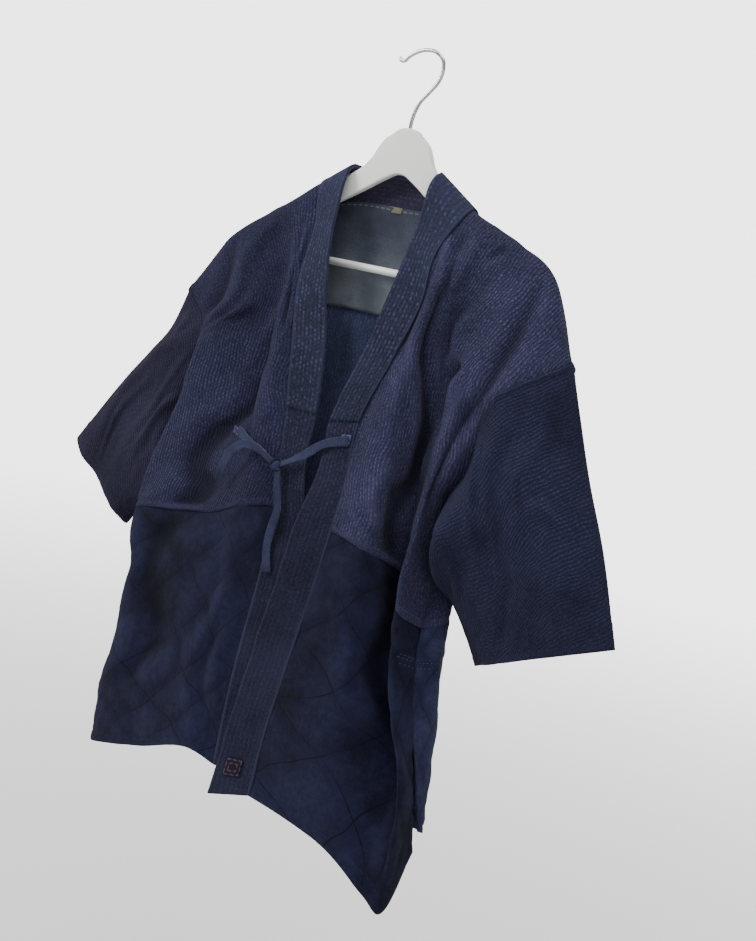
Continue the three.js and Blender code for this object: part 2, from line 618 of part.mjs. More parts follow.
// The plate is one outline, mirrored, with a round edge all the way
const half = [...PLATE_TOP, ...PLATE_TIP, ...PLATE_UNDER];
const outline = [...half, ...half.slice().reverse().map(([x, z]) => [-x, z])];
const plateShape = new THREE.Shape(outline.map(([x, z]) => new THREE.Vector2(x, z)));
const plateGeometry = new THREE.ExtrudeGeometry(plateShape, {
  depth: PLATE_WALL - 2 * PLATE_ROUND, bevelEnabled: true, bevelThickness: PLATE_ROUND, bevelSize: PLATE_ROUND,
  bevelOffset: -PLATE_ROUND, bevelSegments: 2,
});
const plate = addMesh("hanger_plate", plateGeometry, hangerPlastic);
plate.rotation.x = Math.PI / 2;
plate.position.y = PLATE_WALL / 2 - PLATE_ROUND;

const bar = addMesh("trouser_bar", new THREE.CylinderGeometry(BAR_RADIUS, BAR_RADIUS, 2 * BAR_HALF, 20), hangerPlastic);
bar.rotation.z = Math.PI / 2;
bar.position.z = BAR_Z;

// The hook is round wire along a flat line
const wireShape = new THREE.Shape(range(0, WIRE_SIDES - 1, 1).map((k) => {
  const angle = (2 * Math.PI * k) / WIRE_SIDES;
  return new THREE.Vector2(WIRE_RADIUS * Math.cos(angle), WIRE_RADIUS * Math.sin(angle));
}));
const hookLine = new THREE.CatmullRomCurve3(HOOK_LINE.map(([x, z]) => new THREE.Vector3(x, 0, z)), false, "centripetal");
addMesh("hanger_hook", new THREE.ExtrudeGeometry(wireShape, { steps: 48, extrudePath: hookLine }), chromeWire);

export default group;
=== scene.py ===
"""A quilted indigo cotton kimono jacket on a flat hanger. Tables and cloth distances are in millimetres and
meshes in metres, with +Z up, +X the wearer's left, and the origin under the crown of the hook."""
import math

import bpy
import numpy as np
from mathutils import Matrix
from mathutils.geometry import tessellate_polygon


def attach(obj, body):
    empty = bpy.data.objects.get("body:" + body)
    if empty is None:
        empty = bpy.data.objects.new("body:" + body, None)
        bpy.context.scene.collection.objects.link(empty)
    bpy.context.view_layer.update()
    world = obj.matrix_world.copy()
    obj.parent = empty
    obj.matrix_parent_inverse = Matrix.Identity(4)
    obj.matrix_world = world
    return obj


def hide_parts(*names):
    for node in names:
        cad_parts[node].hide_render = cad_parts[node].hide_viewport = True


MM = 0.001
SIDES = ("left", "right")

# The camera: its place in metres, its turn in degrees, and the lens for the picture's longer side
CAMERA_AT = (0.9652, -1.4836, -0.2844)
CAMERA_AZIMUTH = 31.544
CAMERA_DOWN = 6.489
CAMERA_ROLL = 12.176
FOCAL_PIXELS = 1500
PICTURE_HIGH = 941
SENSOR = 36

# Cloth thicknesses, and how far one layer stands off another
BODY_WALL = 2.6
SKIRT_WALL = 2.0
BAND_WALL = 3.6
OVER_COLLAR_WALL = 1.2
LINING_WALL = 1.2
PATCH_WALL = 1.0
LAYER_GAP = 0.3

# Radius of the fold where the cloth lies over the hanger's arms
SHOULDER_ROLL = 8
SHOULDER_DIP = 4

# Cloth distances down from the shoulder fold, and out from the neck line. Then all rows and fold lines of the
# tables, the lower ends of the over-collar and the lining, and the band's width and the middle of its length.
NECK_ROW = 55
ARMPIT = 330
WAIST = 392
VENT = 560
HEM = 705
CENTRE_BACK = -100
VALLEY = 85
SIDE_EDGE = 185
ROW_AT = [10, NECK_ROW, 125, 195, 265, ARMPIT, WAIST, 475, 550, 630, HEM]
FOLD_AT = [CENTRE_BACK, -50, 0, 38, VALLEY, 138, SIDE_EDGE]
OVER_COLLAR_END = 268
LINING_END = 155
BAND_WIDTH = 47
BAND_MIDDLE = 860

# Width over which the back's side is led onto the front's, and of the folded edges: waist seam, hem, cuff,
# and the round of the band's inner edge
JOIN_OVER = 14
FOLDED_EDGE = 8.5
HEM_FOLD = 12
CUFF_FOLD = 24
BAND_ROUND = 2.2

# Unevenness of all cloth, besides its creases: height, width, length and seed of its hills. The hills stand
# on a lattice of this many points each way.
SETTLED = [(1.5, 52, 88, 3), (0.8, 21, 33, 4)]
LATTICE = 96

# Creases: how far each bends as a share of its length, how far it wanders, and the ridges beside it, as a
# share of a depth up to a limit, at this many half widths
CREASE_BEND = 0.09
CREASE_WANDER = 3
RIDGE_SHARE = 0.4
RIDGE_LIMIT = 5
RIDGE_AT = 2.1

# Seams: depth and width of the groove at the stitches, and how far the gathers reach and how long they are
GROOVE_DEEP = 0.9
GROOVE_WIDE = 2.2
PUCKER_REACH = 9
PUCKER_WAVE = 11

# How far the waist's edge and the band's inner edge stray from their lines
WAIST_WAVER = 1.8
BAND_WAVER = 1.1

# Widest steps of the cloth grids
CLOTH_STEP = 3.4
BAND_STEP = 1.3

# Quilting of the skirt, stitch rows of the band, and how deep both sink
DIAMOND_WIDE = 58
DIAMOND_TALL = 84
DIAMOND_DEEP = 2.2
BAND_ROWS = 8
BAND_DEEP = 0.3

# Stitches: distance between columns and length on the thick cotton, length on the band, and distance of sewn
# rows from the edges
RICE_PITCH = 4.3
RICE_LONG = 4.7
BAND_LONG = 5.6
HEM_ROWS = (3.5, 10.5)
LINING_ROWS = (2.5,)
PATCH_ROWS = (1.2, 5.5)

# Stitches across the side strips: cloth distance down to each row and its first column, the columns that they
# reach over, and the thread
TACK_ROWS = [(452, 1), (459, 2), (467, 1)]
TACK_COLUMNS = 9
TACK_THREAD = 0.9

# Top of the shoulder, x and z: neck seam, crest, valley, strip, sleeve seam
SHOULDER = {
    "left": [(104, -168), (142, -183), (176, -197), (222, -227), (266, -314)],
    "right": [(-98, -163), (-140, -191), (-172, -211), (-222, -251), (-268, -320)],
}

# Front rows from chest to hem. Columns: z at the collar seam, z at the side edge,
# then x and y of the collar seam, the crest beside it, the valley, the strip and the side edge.
FRONT = {
    "left": [
        (-218, -352, 85, -22, 112, -28, 136, -22, 180, -34, 223, -38),
        (-285, -385, 89, -42, 108, -48, 126, -26, 172, -50, 203, -46),
        (-353, -445, 80, -62, 108, -68, 132, -32, 170, -62, 196, -44),
        (-425, -492, 65, -78, 108, -86, 134, -38, 166, -72, 176, -42),
        (-490, -560, 70, -88, 116, -94, 142, -40, 164, -82, 182, -38),
        (-551, -629, 70, -96, 120, -99, 150, -42, 168, -86, 190, -62),
        (-640, -680, 62, -100, 124, -105, 162, -44, 178, -90, 196, -66),
        (-715, -745, 53, -102, 132, -108, 184, -50, 200, -92, 210, -68),
        (-795, -810, 44, -103, 140, -109, 208, -60, 222, -90, 224, -64),
        (-870, -874, 41, -104, 146, -110, 208, -100, 233, -88, 234, -52),
    ],
    "right": [
        (-218, -352, -88, -20, -108, -24, -132, -14, -172, -44, -236, -20),
        (-290, -385, -82, -38, -96, -44, -118, -28, -188, -56, -222, -26),
        (-360, -445, -58, -58, -78, -66, -112, -42, -198, -62, -220, -28),
        (-430, -495, -38, -72, -66, -80, -106, -58, -209, -66, -222, -30),
        (-490, -560, -26, -82, -58, -90, -100, -78, -225, -68, -228, -36),
        (-545, -612, -16, -88, -52, -96, -110, -84, -230, -70, -237, -48),
        (-630, -690, -15, -92, -54, -100, -118, -90, -214, -80, -230, -50),
        (-710, -765, -20, -94, -60, -102, -124, -88, -212, -84, -232, -50),
        (-785, -840, -22, -95, -62, -103, -130, -92, -220, -82, -247, -50),
        (-856, -910, -22, -95, -62, -104, -136, -88, -220, -76, -253, -48),
    ],
}
FRONT_DROP = (0, 0.1, 0.45, 0.8, 1)
HEM_DROP = {"left": (0, -14, -50, -62, 0), "right": (0, 14, 6, 0, 0)}

# Back rows from neck to hem. Columns: z at the centre back, z at the side edge,
# then x and y of the centre, mid back, neck line, fold, outer fold, side and side edge.
BACK = {
    "left": [
        (-180, -352, 0, 18, 52, 17, 98, 13, 140, 12, 184, 14, 212, 16, 226, 14),
        (-272, -385, 0, 14, 52, 12, 98, 12, 142, 8, 180, 14, 200, 18, 206, 18),
        (-350, -445, 0, 10, 52, 8, 98, 10, 142, 4, 178, 10, 194, 16, 199, 14),
        (-425, -500, 0, 8, 52, 6, 98, 9, 142, 2, 174, 6, 190, 8, 194, 0),
        (-500, -560, 0, 6, 52, 4, 100, 8, 144, -2, 172, 2, 190, -12, 182, -38),
        (-568, -629, 0, 5, 52, 3, 102, 7, 146, -4, 176, 0, 208, -44, 190, -62),
        (-645, -680, 0, 4, 54, 2, 106, 7, 152, -5, 184, 0, 212, -44, 196, -66),
        (-722, -745, 0, 4, 56, 1, 110, 8, 158, -5, 192, -2, 222, -46, 212, -67),
        (-800, -805, 0, 4, 58, 0, 114, 8, 164, -5, 200, -4, 231, -44, 227, -62),
        (-880, -850, 0, 4, 60, 0, 118, 8, 170, -5, 206, -6, 233, -38, 236, -49),
    ],
    "right": [
        (-180, -352, 0, 18, -52, 17, -98, 13, -142, 12, -190, 14, -226, 16, -238, 12),
        (-272, -385, 0, 14, -52, 12, -100, 12, -146, 8, -190, 14, -218, 18, -226, 14),
        (-350, -445, 0, 10, -54, 8, -104, 10, -150, 4, -190, 10, -216, 14, -222, 10),
        (-425, -500, 0, 8, -54, 6, -106, 9, -152, 2, -190, 6, -216, 8, -222, 0),
        (-500, -560, 0, 6, -56, 4, -110, 8, -158, -2, -196, 2, -222, -8, -228, -36),
        (-568, -612, 0, 5, -56, 3, -112, 7, -162, -4, -204, 0, -232, -20, -237, -48),
        (-645, -690, 0, 4, -56, 2, -112, 7, -162, -5, -200, 0, -224, -22, -230, -50),
        (-722, -765, 0, 4, -58, 1, -116, 8, -166, -5, -204, -2, -226, -24, -234, -48),
        (-800, -840, 0, 4, -60, 0, -120, 8, -172, -5, -212, -4, -240, -24, -249, -46),
        (-880, -908, 0, 4, -62, 0, -124, 8, -178, -5, -218, -4, -246, -24, -255, -44),
    ],
}
BACK_DROP = (0, 0, 0.06, 0.2, 0.5, 0.85, 1)

# Inner edge of the collar band beside each front row, from the shoulder to the hem: x, y, z
BAND_INNER = {
    "left": [
        (52, -8, -138), (47, -14, -196), (47, -38, -266), (43, -59, -338), (29, -81, -432), (33, -90, -487),
        (24, -99, -548), (14, -103, -640), (4, -105, -714), (-5, -106, -794), (-16, -104, -888),
    ],
    "right": [
        (-64, -8, -144), (-56, -30, -214), (-37, -46, -287), (-11, -61, -358), (6, -76, -430),
        (11, -84, -490), (26, -88, -545), (30, -91, -632), (26, -93, -712), (24, -93, -787),
        (24, -93, -858),
    ],
}
# Top edge of the band behind the neck, from the left shoulder to the right
BAND_BEHIND = [(44, 17, -136), (22, 21, -137), (0, 22, -137), (-26, 21, -138), (-52, 17, -141)]

# Sleeve sections from just past the seam to the cuff, each once round: top fold, four points down the front,
# under fold, four points up the back
CUFF = 300
SLEEVE_AT = [0, 45, 125, 210, CUFF]
SLEEVE_ROUND_AT = [0, 55, 125, 195, 265, 330, 395, 465, 535, 605]
SLEEVE_ROUND = 660
SLEEVE_COLUMNS = 200
SLEEVE = {
    "left": [
        [(285, -5, -352), (244, -42, -382), (222, -62, -425), (212, -74, -480), (190, -84, -530),
         (192, -44, -575), (206, -4, -535), (222, 8, -484), (240, 12, -430), (256, 12, -384)],
        [(318, -10, -424), (286, -44, -438), (262, -56, -474), (248, -64, -520), (216, -66, -566),
         (208, -30, -598), (228, -6, -566), (250, 2, -526), (274, 6, -482), (294, 6, -444)],
        [(358, -16, -500), (332, -42, -516), (302, -50, -538), (274, -52, -572), (240, -46, -612),
         (228, -25, -626), (250, -8, -602), (276, -2, -572), (304, 2, -542), (330, 2, -518)],
        [(396, -20, -593), (364, -38, -606), (326, -43, -622), (290, -40, -638), (262, -32, -650),
         (246, -20, -657), (268, -6, -646), (300, -2, -632), (334, -1, -618), (368, -3, -604)],
    ],
    "right": [
        [(-283, -4, -368), (-262, -30, -384), (-248, -38, -424), (-240, -42, -470), (-236, -42, -530),
         (-238, -30, -580), (-238, -6, -540), (-242, 4, -490), (-252, 8, -436), (-266, 8, -388)],
        [(-308, -10, -412), (-292, -34, -430), (-276, -38, -466), (-262, -44, -510), (-252, -40, -562),
         (-250, -26, -596), (-254, -6, -564), (-264, 0, -524), (-280, 4, -474), (-296, 4, -432)],
        [(-346, -14, -466), (-334, -34, -484), (-318, -34, -512), (-298, -38, -544), (-280, -36, -590),
         (-272, -22, -612), (-280, -8, -584), (-296, -2, -552), (-316, 0, -514), (-336, 0, -482)],
        [(-396, -20, -548), (-372, -34, -566), (-346, -30, -584), (-322, -34, -604), (-300, -32, -624),
         (-290, -20, -634), (-302, -8, -618), (-324, -5, -600), (-350, -4, -580), (-376, -6, -562)],
    ],
}

# Creases pressed and hung into the cloth, in cloth distances. Columns: across and along of one end,
# across and along of the other, half width, depth.
CREASES = {
    "body_left": [
        (14, -34, 50, -85, 7, 5.0), (48, -78, 66, -195, 9, 8.4), (64, -185, 72, -300, 10, 9.6),
        (71, -290, 63, -392, 10, 9.0), (10, -40, 12, -117, 5, -2.0), (14, -110, 34, -192, 7, -2.8),
        (92, -228, 82, -327, 8, -3.4), (82, -318, 86, -392, 8, -3.0), (128, -8, 168, -122, 9, 5.6),
        (168, -112, 156, -310, 9, 6.4), (64, -34, 82, -17, 4, 2.2), (88, -42, 84, -125, 5, 2.8),
        (106, -58, 94, -165, 6, 3.4), (120, -95, 110, -210, 6, 3.6), (40, -200, 44, -345, 6, 2.8),
        (16, -200, 22, -335, 6, 1.6), (122, -225, 112, -386, 8, 3.8), (20, -315, 52, -389, 6, 2.0),
        (-60, 120, -40, 330, 12, 4.0), (40, 90, 90, 260, 12, 4.4), (150, 120, 120, 350, 11, 4.6),
        (0, 200, 30, 380, 10, 3.4),
    ],
    "body_right": [
        (30, -45, 34, -105, 7, 4.6), (32, -95, 28, -180, 7, 4.4), (40, -110, 82, -213, 9, 7.0),
        (80, -205, 96, -275, 10, 9.6), (94, -265, 106, -340, 11, 10.4), (106, -330, 106, -392, 11, 9.6),
        (60, -28, 132, -38, 6, -3.6), (126, -34, 164, -68, 7, -4.8), (160, -62, 180, -140, 7, -3.8),
        (126, -14, 152, -46, 5, 3.0), (150, -42, 172, -64, 5, 3.2), (150, -110, 140, -205, 8, 3.0),
        (62, -185, 56, -335, 7, 2.6), (136, -262, 142, -386, 8, 3.6), (-70, 140, -40, 350, 12, 4.2),
        (50, 80, 80, 250, 12, 4.4), (140, 100, 110, 330, 11, 4.6), (10, 220, 20, 390, 10, 3.4),
    ],
    "sleeve_left": [
        (26, 2, 44, 98, 11, 4.0), (92, 96, 113, 130, 5, 3.0), (94, 142, 44, 180, 7, 3.0),
        (184, 178, 122, 228, 5, -1.8), (90, 241, 22, 269, 5, -1.6), (60, 58, 172, 142, 16, -3.8),
        (170, 128, 218, 287, 16, -3.6), (180, 52, 220, 200, 10, 3.0), (146, 6, 180, 66, 8, 3.2),
        (34, 100, 32, 180, 10, 2.8), (250, 20, 270, 160, 9, 3.0), (430, 20, 470, 200, 10, 3.2),
        (560, 30, 520, 230, 10, 3.0),
    ],
    "sleeve_right": [
        (74, 50, 56, 215, 11, 2.6), (118, 3, 166, 190, 10, 1.6), (96, 118, 122, 285, 8, 1.6),
        (40, 10, 60, 40, 7, 2.4), (200, 20, 215, 190, 9, 3.0), (450, 30, 480, 220, 10, 3.0),
        (570, 40, 530, 210, 10, 2.8),
    ],
    "skirt_left": [
        (63, -392, 70, -480, 10, 8.4), (70, -466, 68, -570, 10, 7.0), (68, -545, 102, -650, 9, 5.0),
        (24, -470, 2, -518, 5, 2.2), (0, -594, 14, -614, 5, 2.2), (40, -470, 30, -600, 8, 2.6),
        (50, -590, 62, -695, 9, 2.8), (130, -430, 137, -610, 10, 3.2), (-60, 420, -40, 640, 14, 3.0),
        (40, 430, 70, 690, 13, 3.2), (130, 450, 110, 690, 12, 3.0),
    ],
    "skirt_right": [
        (106, -392, 108, -515, 11, 9.0), (108, -500, 123, -630, 10, 7.0), (29, -515, 22, -650, 8, 4.6),
        (66, -420, 60, -560, 9, 2.6), (140, -430, 150, -600, 10, 2.8), (112, -640, 96, -700, 9, 2.6),
        (-60, 430, -40, 660, 14, 3.0), (50, 420, 60, 680, 13, 3.2), (140, 440, 125, 690, 12, 3.0),
    ],
}

# Ties: width, thickness, length once round the tape, and points of each. The knot: its middle and size, its
# tape's width and thickness, how far in that lies, and the core's share of the size. Then the ties' middle
# lines, each from its sewn end to its free end or the knot.
TIE_WIDTH = 11
TIE_WALL = 2
TAPE_ROUND = 22
TIE_POINTS = 80
KNOT_AT = (-22, -95, -497)
KNOT_SIZE = (14, 10, 12)
KNOT_TAPE = (7.2, 4.2)
KNOT_INSET = (2.2, 1.6, 2.4)
KNOT_CORE = 0.82
TIES = {
    "tie_right_held": [
        (-102, -72, -473), (-91, -78.4, -474), (-77, -87, -478), (-64, -92.2, -482), (-48, -94, -487),
        (-28.8, -94.8, -495),
    ],
    "tie_right_end": [
        (-18.8, -95, -502.8), (-14, -96, -521), (-7, -97, -545), (-9, -98, -568), (-10, -98, -587),
        (-4, -97, -618),
    ],
    "tie_left_held": [
        (62, -87.6, -449), (53, -89, -451), (35, -93, -458), (14, -95, -475), (-15.9, -95, -493.4),
    ],
    "tie_left_end": [
        (-26.3, -98.5, -493.4), (-46, -104, -482), (-69, -105.5, -483), (-83, -104.5, -496),
        (-91, -102, -509), (-97, -97.5, -530),
    ],
}

# Patches: how far each stands off the middle of the wall under it, and its two upright sides, each by its
# distance across, then along at both ends. On the band, across is a share of its width from the seam.
PATCHES = {
    "tie_patch_right": (BODY_WALL / 2 + 1.0, [(73, -298, -290), (91, -282, -273)]),
    "tie_patch_left": (BAND_WALL / 2 + 1.8, [(0.06, 281, 292), (0.4, 281, 292)]),
    "band_patch": (BAND_WALL / 2 + 1.8, [(0.32, 666, 684), (0.74, 666, 684)]),
}
LABEL_AT = (-6, 13.6, -182.5)
LABEL_WIDE = 18
LABEL_TALL = 7
LABEL_WALL = 0.8

# Hanger: the plate's outline is the +X half in x and z
PLATE_WALL = 10
PLATE_ROUND = 2
PLATE_TOP = [
    (12, -91), (20, -97), (30, -105), (37, -117), (42, -127), (46, -132.6), (52, -139.6), (66, -149.8),
    (104, -173.8), (142, -195.8), (176, -217.8), (204, -239.8),
]
PLATE_TIP = [(213, -252), (215, -261), (210, -269), (200, -269)]
PLATE_UNDER = [
    (190, -262), (189, -266), (184, -269), (179, -266), (178, -246), (140, -222), (79, -186), (45, -166),
    (18, -149), (6, -143),
]
BAR_RADIUS = 4.5
BAR_Z = -255
BAR_HALF = 177.5
WIRE_RADIUS = 2.2
HOOK_LINE = [
    (-1, -90.6), (0, -74), (5, -58), (15, -45), (24, -32), (27, -19), (24, -7), (14, 0.5), (0, 2.2),
    (-12, -1), (-22, -7), (-29, -13), (-33, -12), (-34, -8),
]
HOOK_POINTS = 150

# Colours in screen values from 0 to 255: each finish's darkest and usual tone, then its palest tone, for
# wear, thread and painted highlights
TONES = {
    "upper_cotton_left": [(25, 25, 45), (44, 44, 71), (82, 84, 117)],
    # The right half is the same cotton in darker tones: painted shade
    "upper_cotton_right": [(19, 19, 37), (35, 35, 60), (68, 69, 101)],
    # Painted light: the inside faces are much paler than the outside, standing in for light inside the jacket
    "upper_cotton_inside": [(62, 68, 104), (88, 96, 138), (120, 128, 166)],
    # The sleeves are one cotton in two copies; the left copy is darker: painted shade
    "sleeve_cotton_left": [(21, 22, 40), (34, 35, 58), (54, 56, 85)],
    "sleeve_cotton_right": [(28, 26, 42), (40, 38, 58), (57, 55, 79)],
    "skirt_cotton": [(12, 13, 28), (29, 31, 58), (44, 47, 78)],
    # A paler copy of the skirt cotton for the back left panel's side strip: painted light
    "skirt_cotton_side": [(27, 30, 54), (44, 47, 76), (72, 76, 110)],
    "band_cotton": [(20, 21, 38), (35, 36, 58), (70, 72, 101)],
    "over_collar_cotton": [(24, 26, 42), (39, 42, 63), (66, 70, 98)],
    "band_inside_cotton": [(24, 21, 34), (38, 34, 51), (72, 68, 92)],
    "lining_cotton": [(58, 63, 76), (78, 84, 97), (112, 116, 122)],
    "tie_cotton": [(38, 41, 64), (58, 62, 90), (96, 100, 132)],
    "tie_patch_cotton": [(40, 42, 65), (58, 62, 88), (92, 96, 128)],
    "label_cloth": [(116, 110, 98), (142, 136, 120)],
    "patch_cloth": [(25, 17, 30), (34, 25, 40), (84, 70, 92)],
    "tack_thread": [(62, 66, 92), (90, 94, 120)],
    "hanger_plastic": [(240, 240, 238), (252, 251, 248)],
    "chrome_wire": [(176, 178, 182), (214, 215, 218)],
}
# Colour painted into the troughs of folds as shade
PAINTED_CREASE_SHADE = (9, 9, 21)
QUILT_THREAD = (8, 8, 18)
FADED_LINING = (126, 134, 144)

# Lengths along the lining between which it fades, and turns of the weave's sines in a metre of cloth
LINING_FADES = (45, 100)
WEAVE = 5200

# Light: strength of the surroundings as light and as backdrop, then each soft lamp's place and size in metres
# and its watts. All lamps aim at one point.
WORLD_LIGHT = 0.46
BACKDROP = 3.6
LAMPS = {
    "key": ((-2.3, -2.3, 1.2), 1.4, 92), "top": ((0.4, -0.6, 2.3), 2.0, 62),
    "side": ((2.6, -1.2, -0.2), 1.6, 12), "back": ((0.3, 2.8, 1.0), 2.0, 18),
}
LAMPS_AIM = (0, 0, -0.5)

# Floor in metres: its level and radius, the distances over which it fades out, and its paint
FLOOR_LEVEL = -1.45
FLOOR_RADIUS = 9
FLOOR_FADES = (0.6, 6.5)
FLOOR_PAINT = (0.96, 0.96, 0.96, 1)


# Numbers on grids


def curve_weights(stations, at, period=0.0):
    """Rows of weights that turn guide points into points of one smooth curve at the given stations: a cubic
    between each two guides, whose slope at a guide is the mean of both chords, weighted to the nearer
    guide."""
    count = len(stations)
    index = np.arange(-2, count + 3) if period else np.arange(count)
    place = np.array(stations, float)[index % count] + period * (index // count)
    step = np.diff(place)
    each = np.eye(len(place))
    chord = (each[1:] - each[:-1]) / step[:, None]
    slope = np.empty_like(each)
    slope[0], slope[-1] = chord[0], chord[-1]
    before, after = step[:-1, None], step[1:, None]
    slope[1:-1] = (chord[:-1] * after + chord[1:] * before) / (before + after)
    at = np.asarray(at, float)
    k = np.clip(np.searchsorted(place, at) - 1, 0, len(place) - 2)
    h = step[k]
    f = ((at - place[k]) / h)[:, None]
    h = h[:, None]
    weights = (2 * f**3 - 3 * f**2 + 1) * each[k] + (f**3 - 2 * f**2 + f) * h * slope[k]
    weights += (3 * f**2 - 2 * f**3) * each[k + 1] + (f**3 - f**2) * h * slope[k + 1]
    folded = np.zeros((len(at), count))
    np.add.at(folded.T, index % count, weights.T)
    return folded


def steps(*stops, step=CLOTH_STEP):
    """Even stations through all the stops, no further apart than step"""
    runs = [np.linspace(a, b, max(2, round(abs(b - a) / step) + 1))[:-1] for a, b in zip(stops, stops[1:])]
    return np.concatenate(runs + [stops[-1:]])


def unit(vectors):
    return vectors / np.maximum(np.linalg.norm(vectors, axis=-1, keepdims=True), 1e-9)


def facing(points, flip=False):
    """Direction square to a grid at each point: across the columns crossed with along the rows"""
    across = np.gradient(points, axis=1)
    along = np.gradient(points, axis=0)
    return unit(np.cross(across, along)) * (-1 if flip else 1)


def smooth_step(low, high, value):
    f = np.clip((value - low) / (high - low), 0, 1)
    return f * f * (3 - 2 * f)


def hills(u, v, wide, tall, seed):
    """Soft random hills from -1 to 1: random heights on a lattice of that size, joined by a smooth step"""
    lattice = np.random.default_rng(seed).uniform(-1, 1, (LATTICE, LATTICE))
    x, y = u / wide + 40.37, v / tall + 40.71
    i, j = np.floor(x).astype(int), np.floor(y).astype(int)
    f, g = smooth_step(0, 1, x - i), smooth_step(0, 1, y - j)
    corner = [[lattice[(i + a) % LATTICE, (j + b) % LATTICE] for b in (0, 1)] for a in (0, 1)]
    low = corner[0][0] * (1 - g) + corner[0][1] * g
    high = corner[1][0] * (1 - g) + corner[1][1] * g
    return low * (1 - f) + high * f


def crease_depth(u, v, table):
    """Each crease is a soft trough along a bent line with a lower ridge on both sides, fading at its ends:
    depth times a bell of the distance to the line, less a lower bell at twice the half width."""
    total = np.zeros_like(u)
    for number, (u0, v0, u1, v1, half, depth) in enumerate(table):
        du, dv = u1 - u0, v1 - v0
        long = math.hypot(du, dv)
        t = ((u - u0) * du + (v - v0) * dv) / long**2
        aside = ((u - u0) * dv - (v - v0) * du) / long
        bend = CREASE_BEND * long * np.sin(math.pi * np.clip(t, 0, 1)) * (1 if number % 2 else -1)
        away = (aside - bend + CREASE_WANDER * hills(u, v, 26, 40, 50 + number)) / half
        fade = smooth_step(-0.12, 0.25, t) * smooth_step(1.12, 0.72, t)
        ridge = RIDGE_SHARE * float(np.clip(depth, -RIDGE_LIMIT, RIDGE_LIMIT))
        total += fade * (ridge * np.exp(-((np.abs(away) - RIDGE_AT) ** 2)) - depth * np.exp(-(away**2)))
    return total


def lengths(points, axis):
    """Distance along a grid's rows or columns from its first one"""
    run = np.linalg.norm(np.diff(points, axis=axis), axis=2)
    start = np.zeros_like(np.take(run, [0], axis=axis))
    return np.concatenate([start, np.cumsum(run, axis=axis)], axis=axis)


# Meshes


def put_mesh(name, vertices, faces, maps, material):
    """A mesh in metres from millimetres, with each map given as one pair for every corner of every face"""
    mesh = bpy.data.meshes.new(name)
    mesh.from_pydata(vertices * MM, [], faces if isinstance(faces, list) else faces.tolist())
    for label, pairs in maps.items():
        layer = mesh.uv_layers.new(name=label)
        layer.data.foreach_set("uv", np.ascontiguousarray(pairs, float).ravel())
    mesh.materials.append(material)
    mesh.shade_smooth()
    mesh.update()
    piece = bpy.data.objects.new(name, mesh)
    bpy.context.scene.collection.objects.link(piece)
    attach(piece, "root")
    return piece


def wall(name, middle, thickness, maps, material, flip=False, closed=False, has=None, out=None, lining=None):
    """A closed wall round a grid of middle points: two sheets half its thickness out and in, and a rim
    along every free edge. In a closed wall the last column meets the first, and the maps have one column
    more. The inner sheet takes the lining's material where there is one."""
    rows, columns = middle.shape[:2]
    out = facing(middle, flip) if out is None else out
    half = np.broadcast_to(np.asarray(thickness, float) / 2, (rows, columns))[..., None]
    vertices = np.concatenate([(middle + out * half).reshape(-1, 3), (middle - out * half).reshape(-1, 3)])
    cells = np.ones((rows - 1, columns - (0 if closed else 1)), bool) if has is None else has
    i, j = np.nonzero(cells)
    ring = [(0, 0), (0, 1), (1, 1), (1, 0)]
    row = np.stack([i + a for a, _ in ring], 1)
    column = np.stack([j + b for _, b in ring], 1)
    outer = row * columns + column % columns
    faces = [outer, outer[:, ::-1] + rows * columns]
    places = [(row, column), (row[:, ::-1], column[:, ::-1])]
    padded = np.pad(cells, 1)
    for k, (di, dj) in enumerate([(-1, 0), (0, 1), (1, 0), (0, -1)]):
        if closed and dj:
            continue
        free = ~padded[i + 1 + di, j + 1 + dj]
        a, b = outer[free, k], outer[free, (k + 1) % 4]
        faces.append(np.stack([b, a, a + rows * columns, b + rows * columns], 1))
        order = [(k + 1) % 4, k, k, (k + 1) % 4]
        places.append((row[free][:, order], column[free][:, order]))
    faces = np.concatenate(faces)
    row = np.concatenate([p[0] for p in places])
    column = np.concatenate([p[1] for p in places])
    if flip:
        faces, row, column = faces[:, ::-1], row[:, ::-1], column[:, ::-1]
    used = np.unique(faces)
    place = np.full(len(vertices), -1)
    place[used] = np.arange(len(used))
    corner_maps = {label: pairs[row, column] for label, pairs in maps.items()}
    piece = put_mesh(name, vertices[used], place[faces], corner_maps, material)
    if lining:
        piece.data.materials.append(lining)
        number = np.arange(len(faces))
        inner = (number >= len(i)) & (number < 2 * len(i))
        piece.data.polygons.foreach_set("material_index", inner.astype(np.int32))
    return piece


def tube_faces(count, sides, closed=False):
    """Faces between rings of points, each ring closed on itself. In a closed tube the last ring meets the
    first."""
    i, j = np.meshgrid(np.arange(count if closed else count - 1), np.arange(sides), indexing="ij")
    a, b = (i + 1) % count, (j + 1) % sides
    return np.stack([i * sides + j, i * sides + b, a * sides + b, a * sides + j], -1).reshape(-1, 4)


def turned_faces(count, sides):
    """The same faces seen from the other side, each from the same first corner"""
    return np.roll(tube_faces(count, sides)[:, ::-1], 1, 1).tolist()


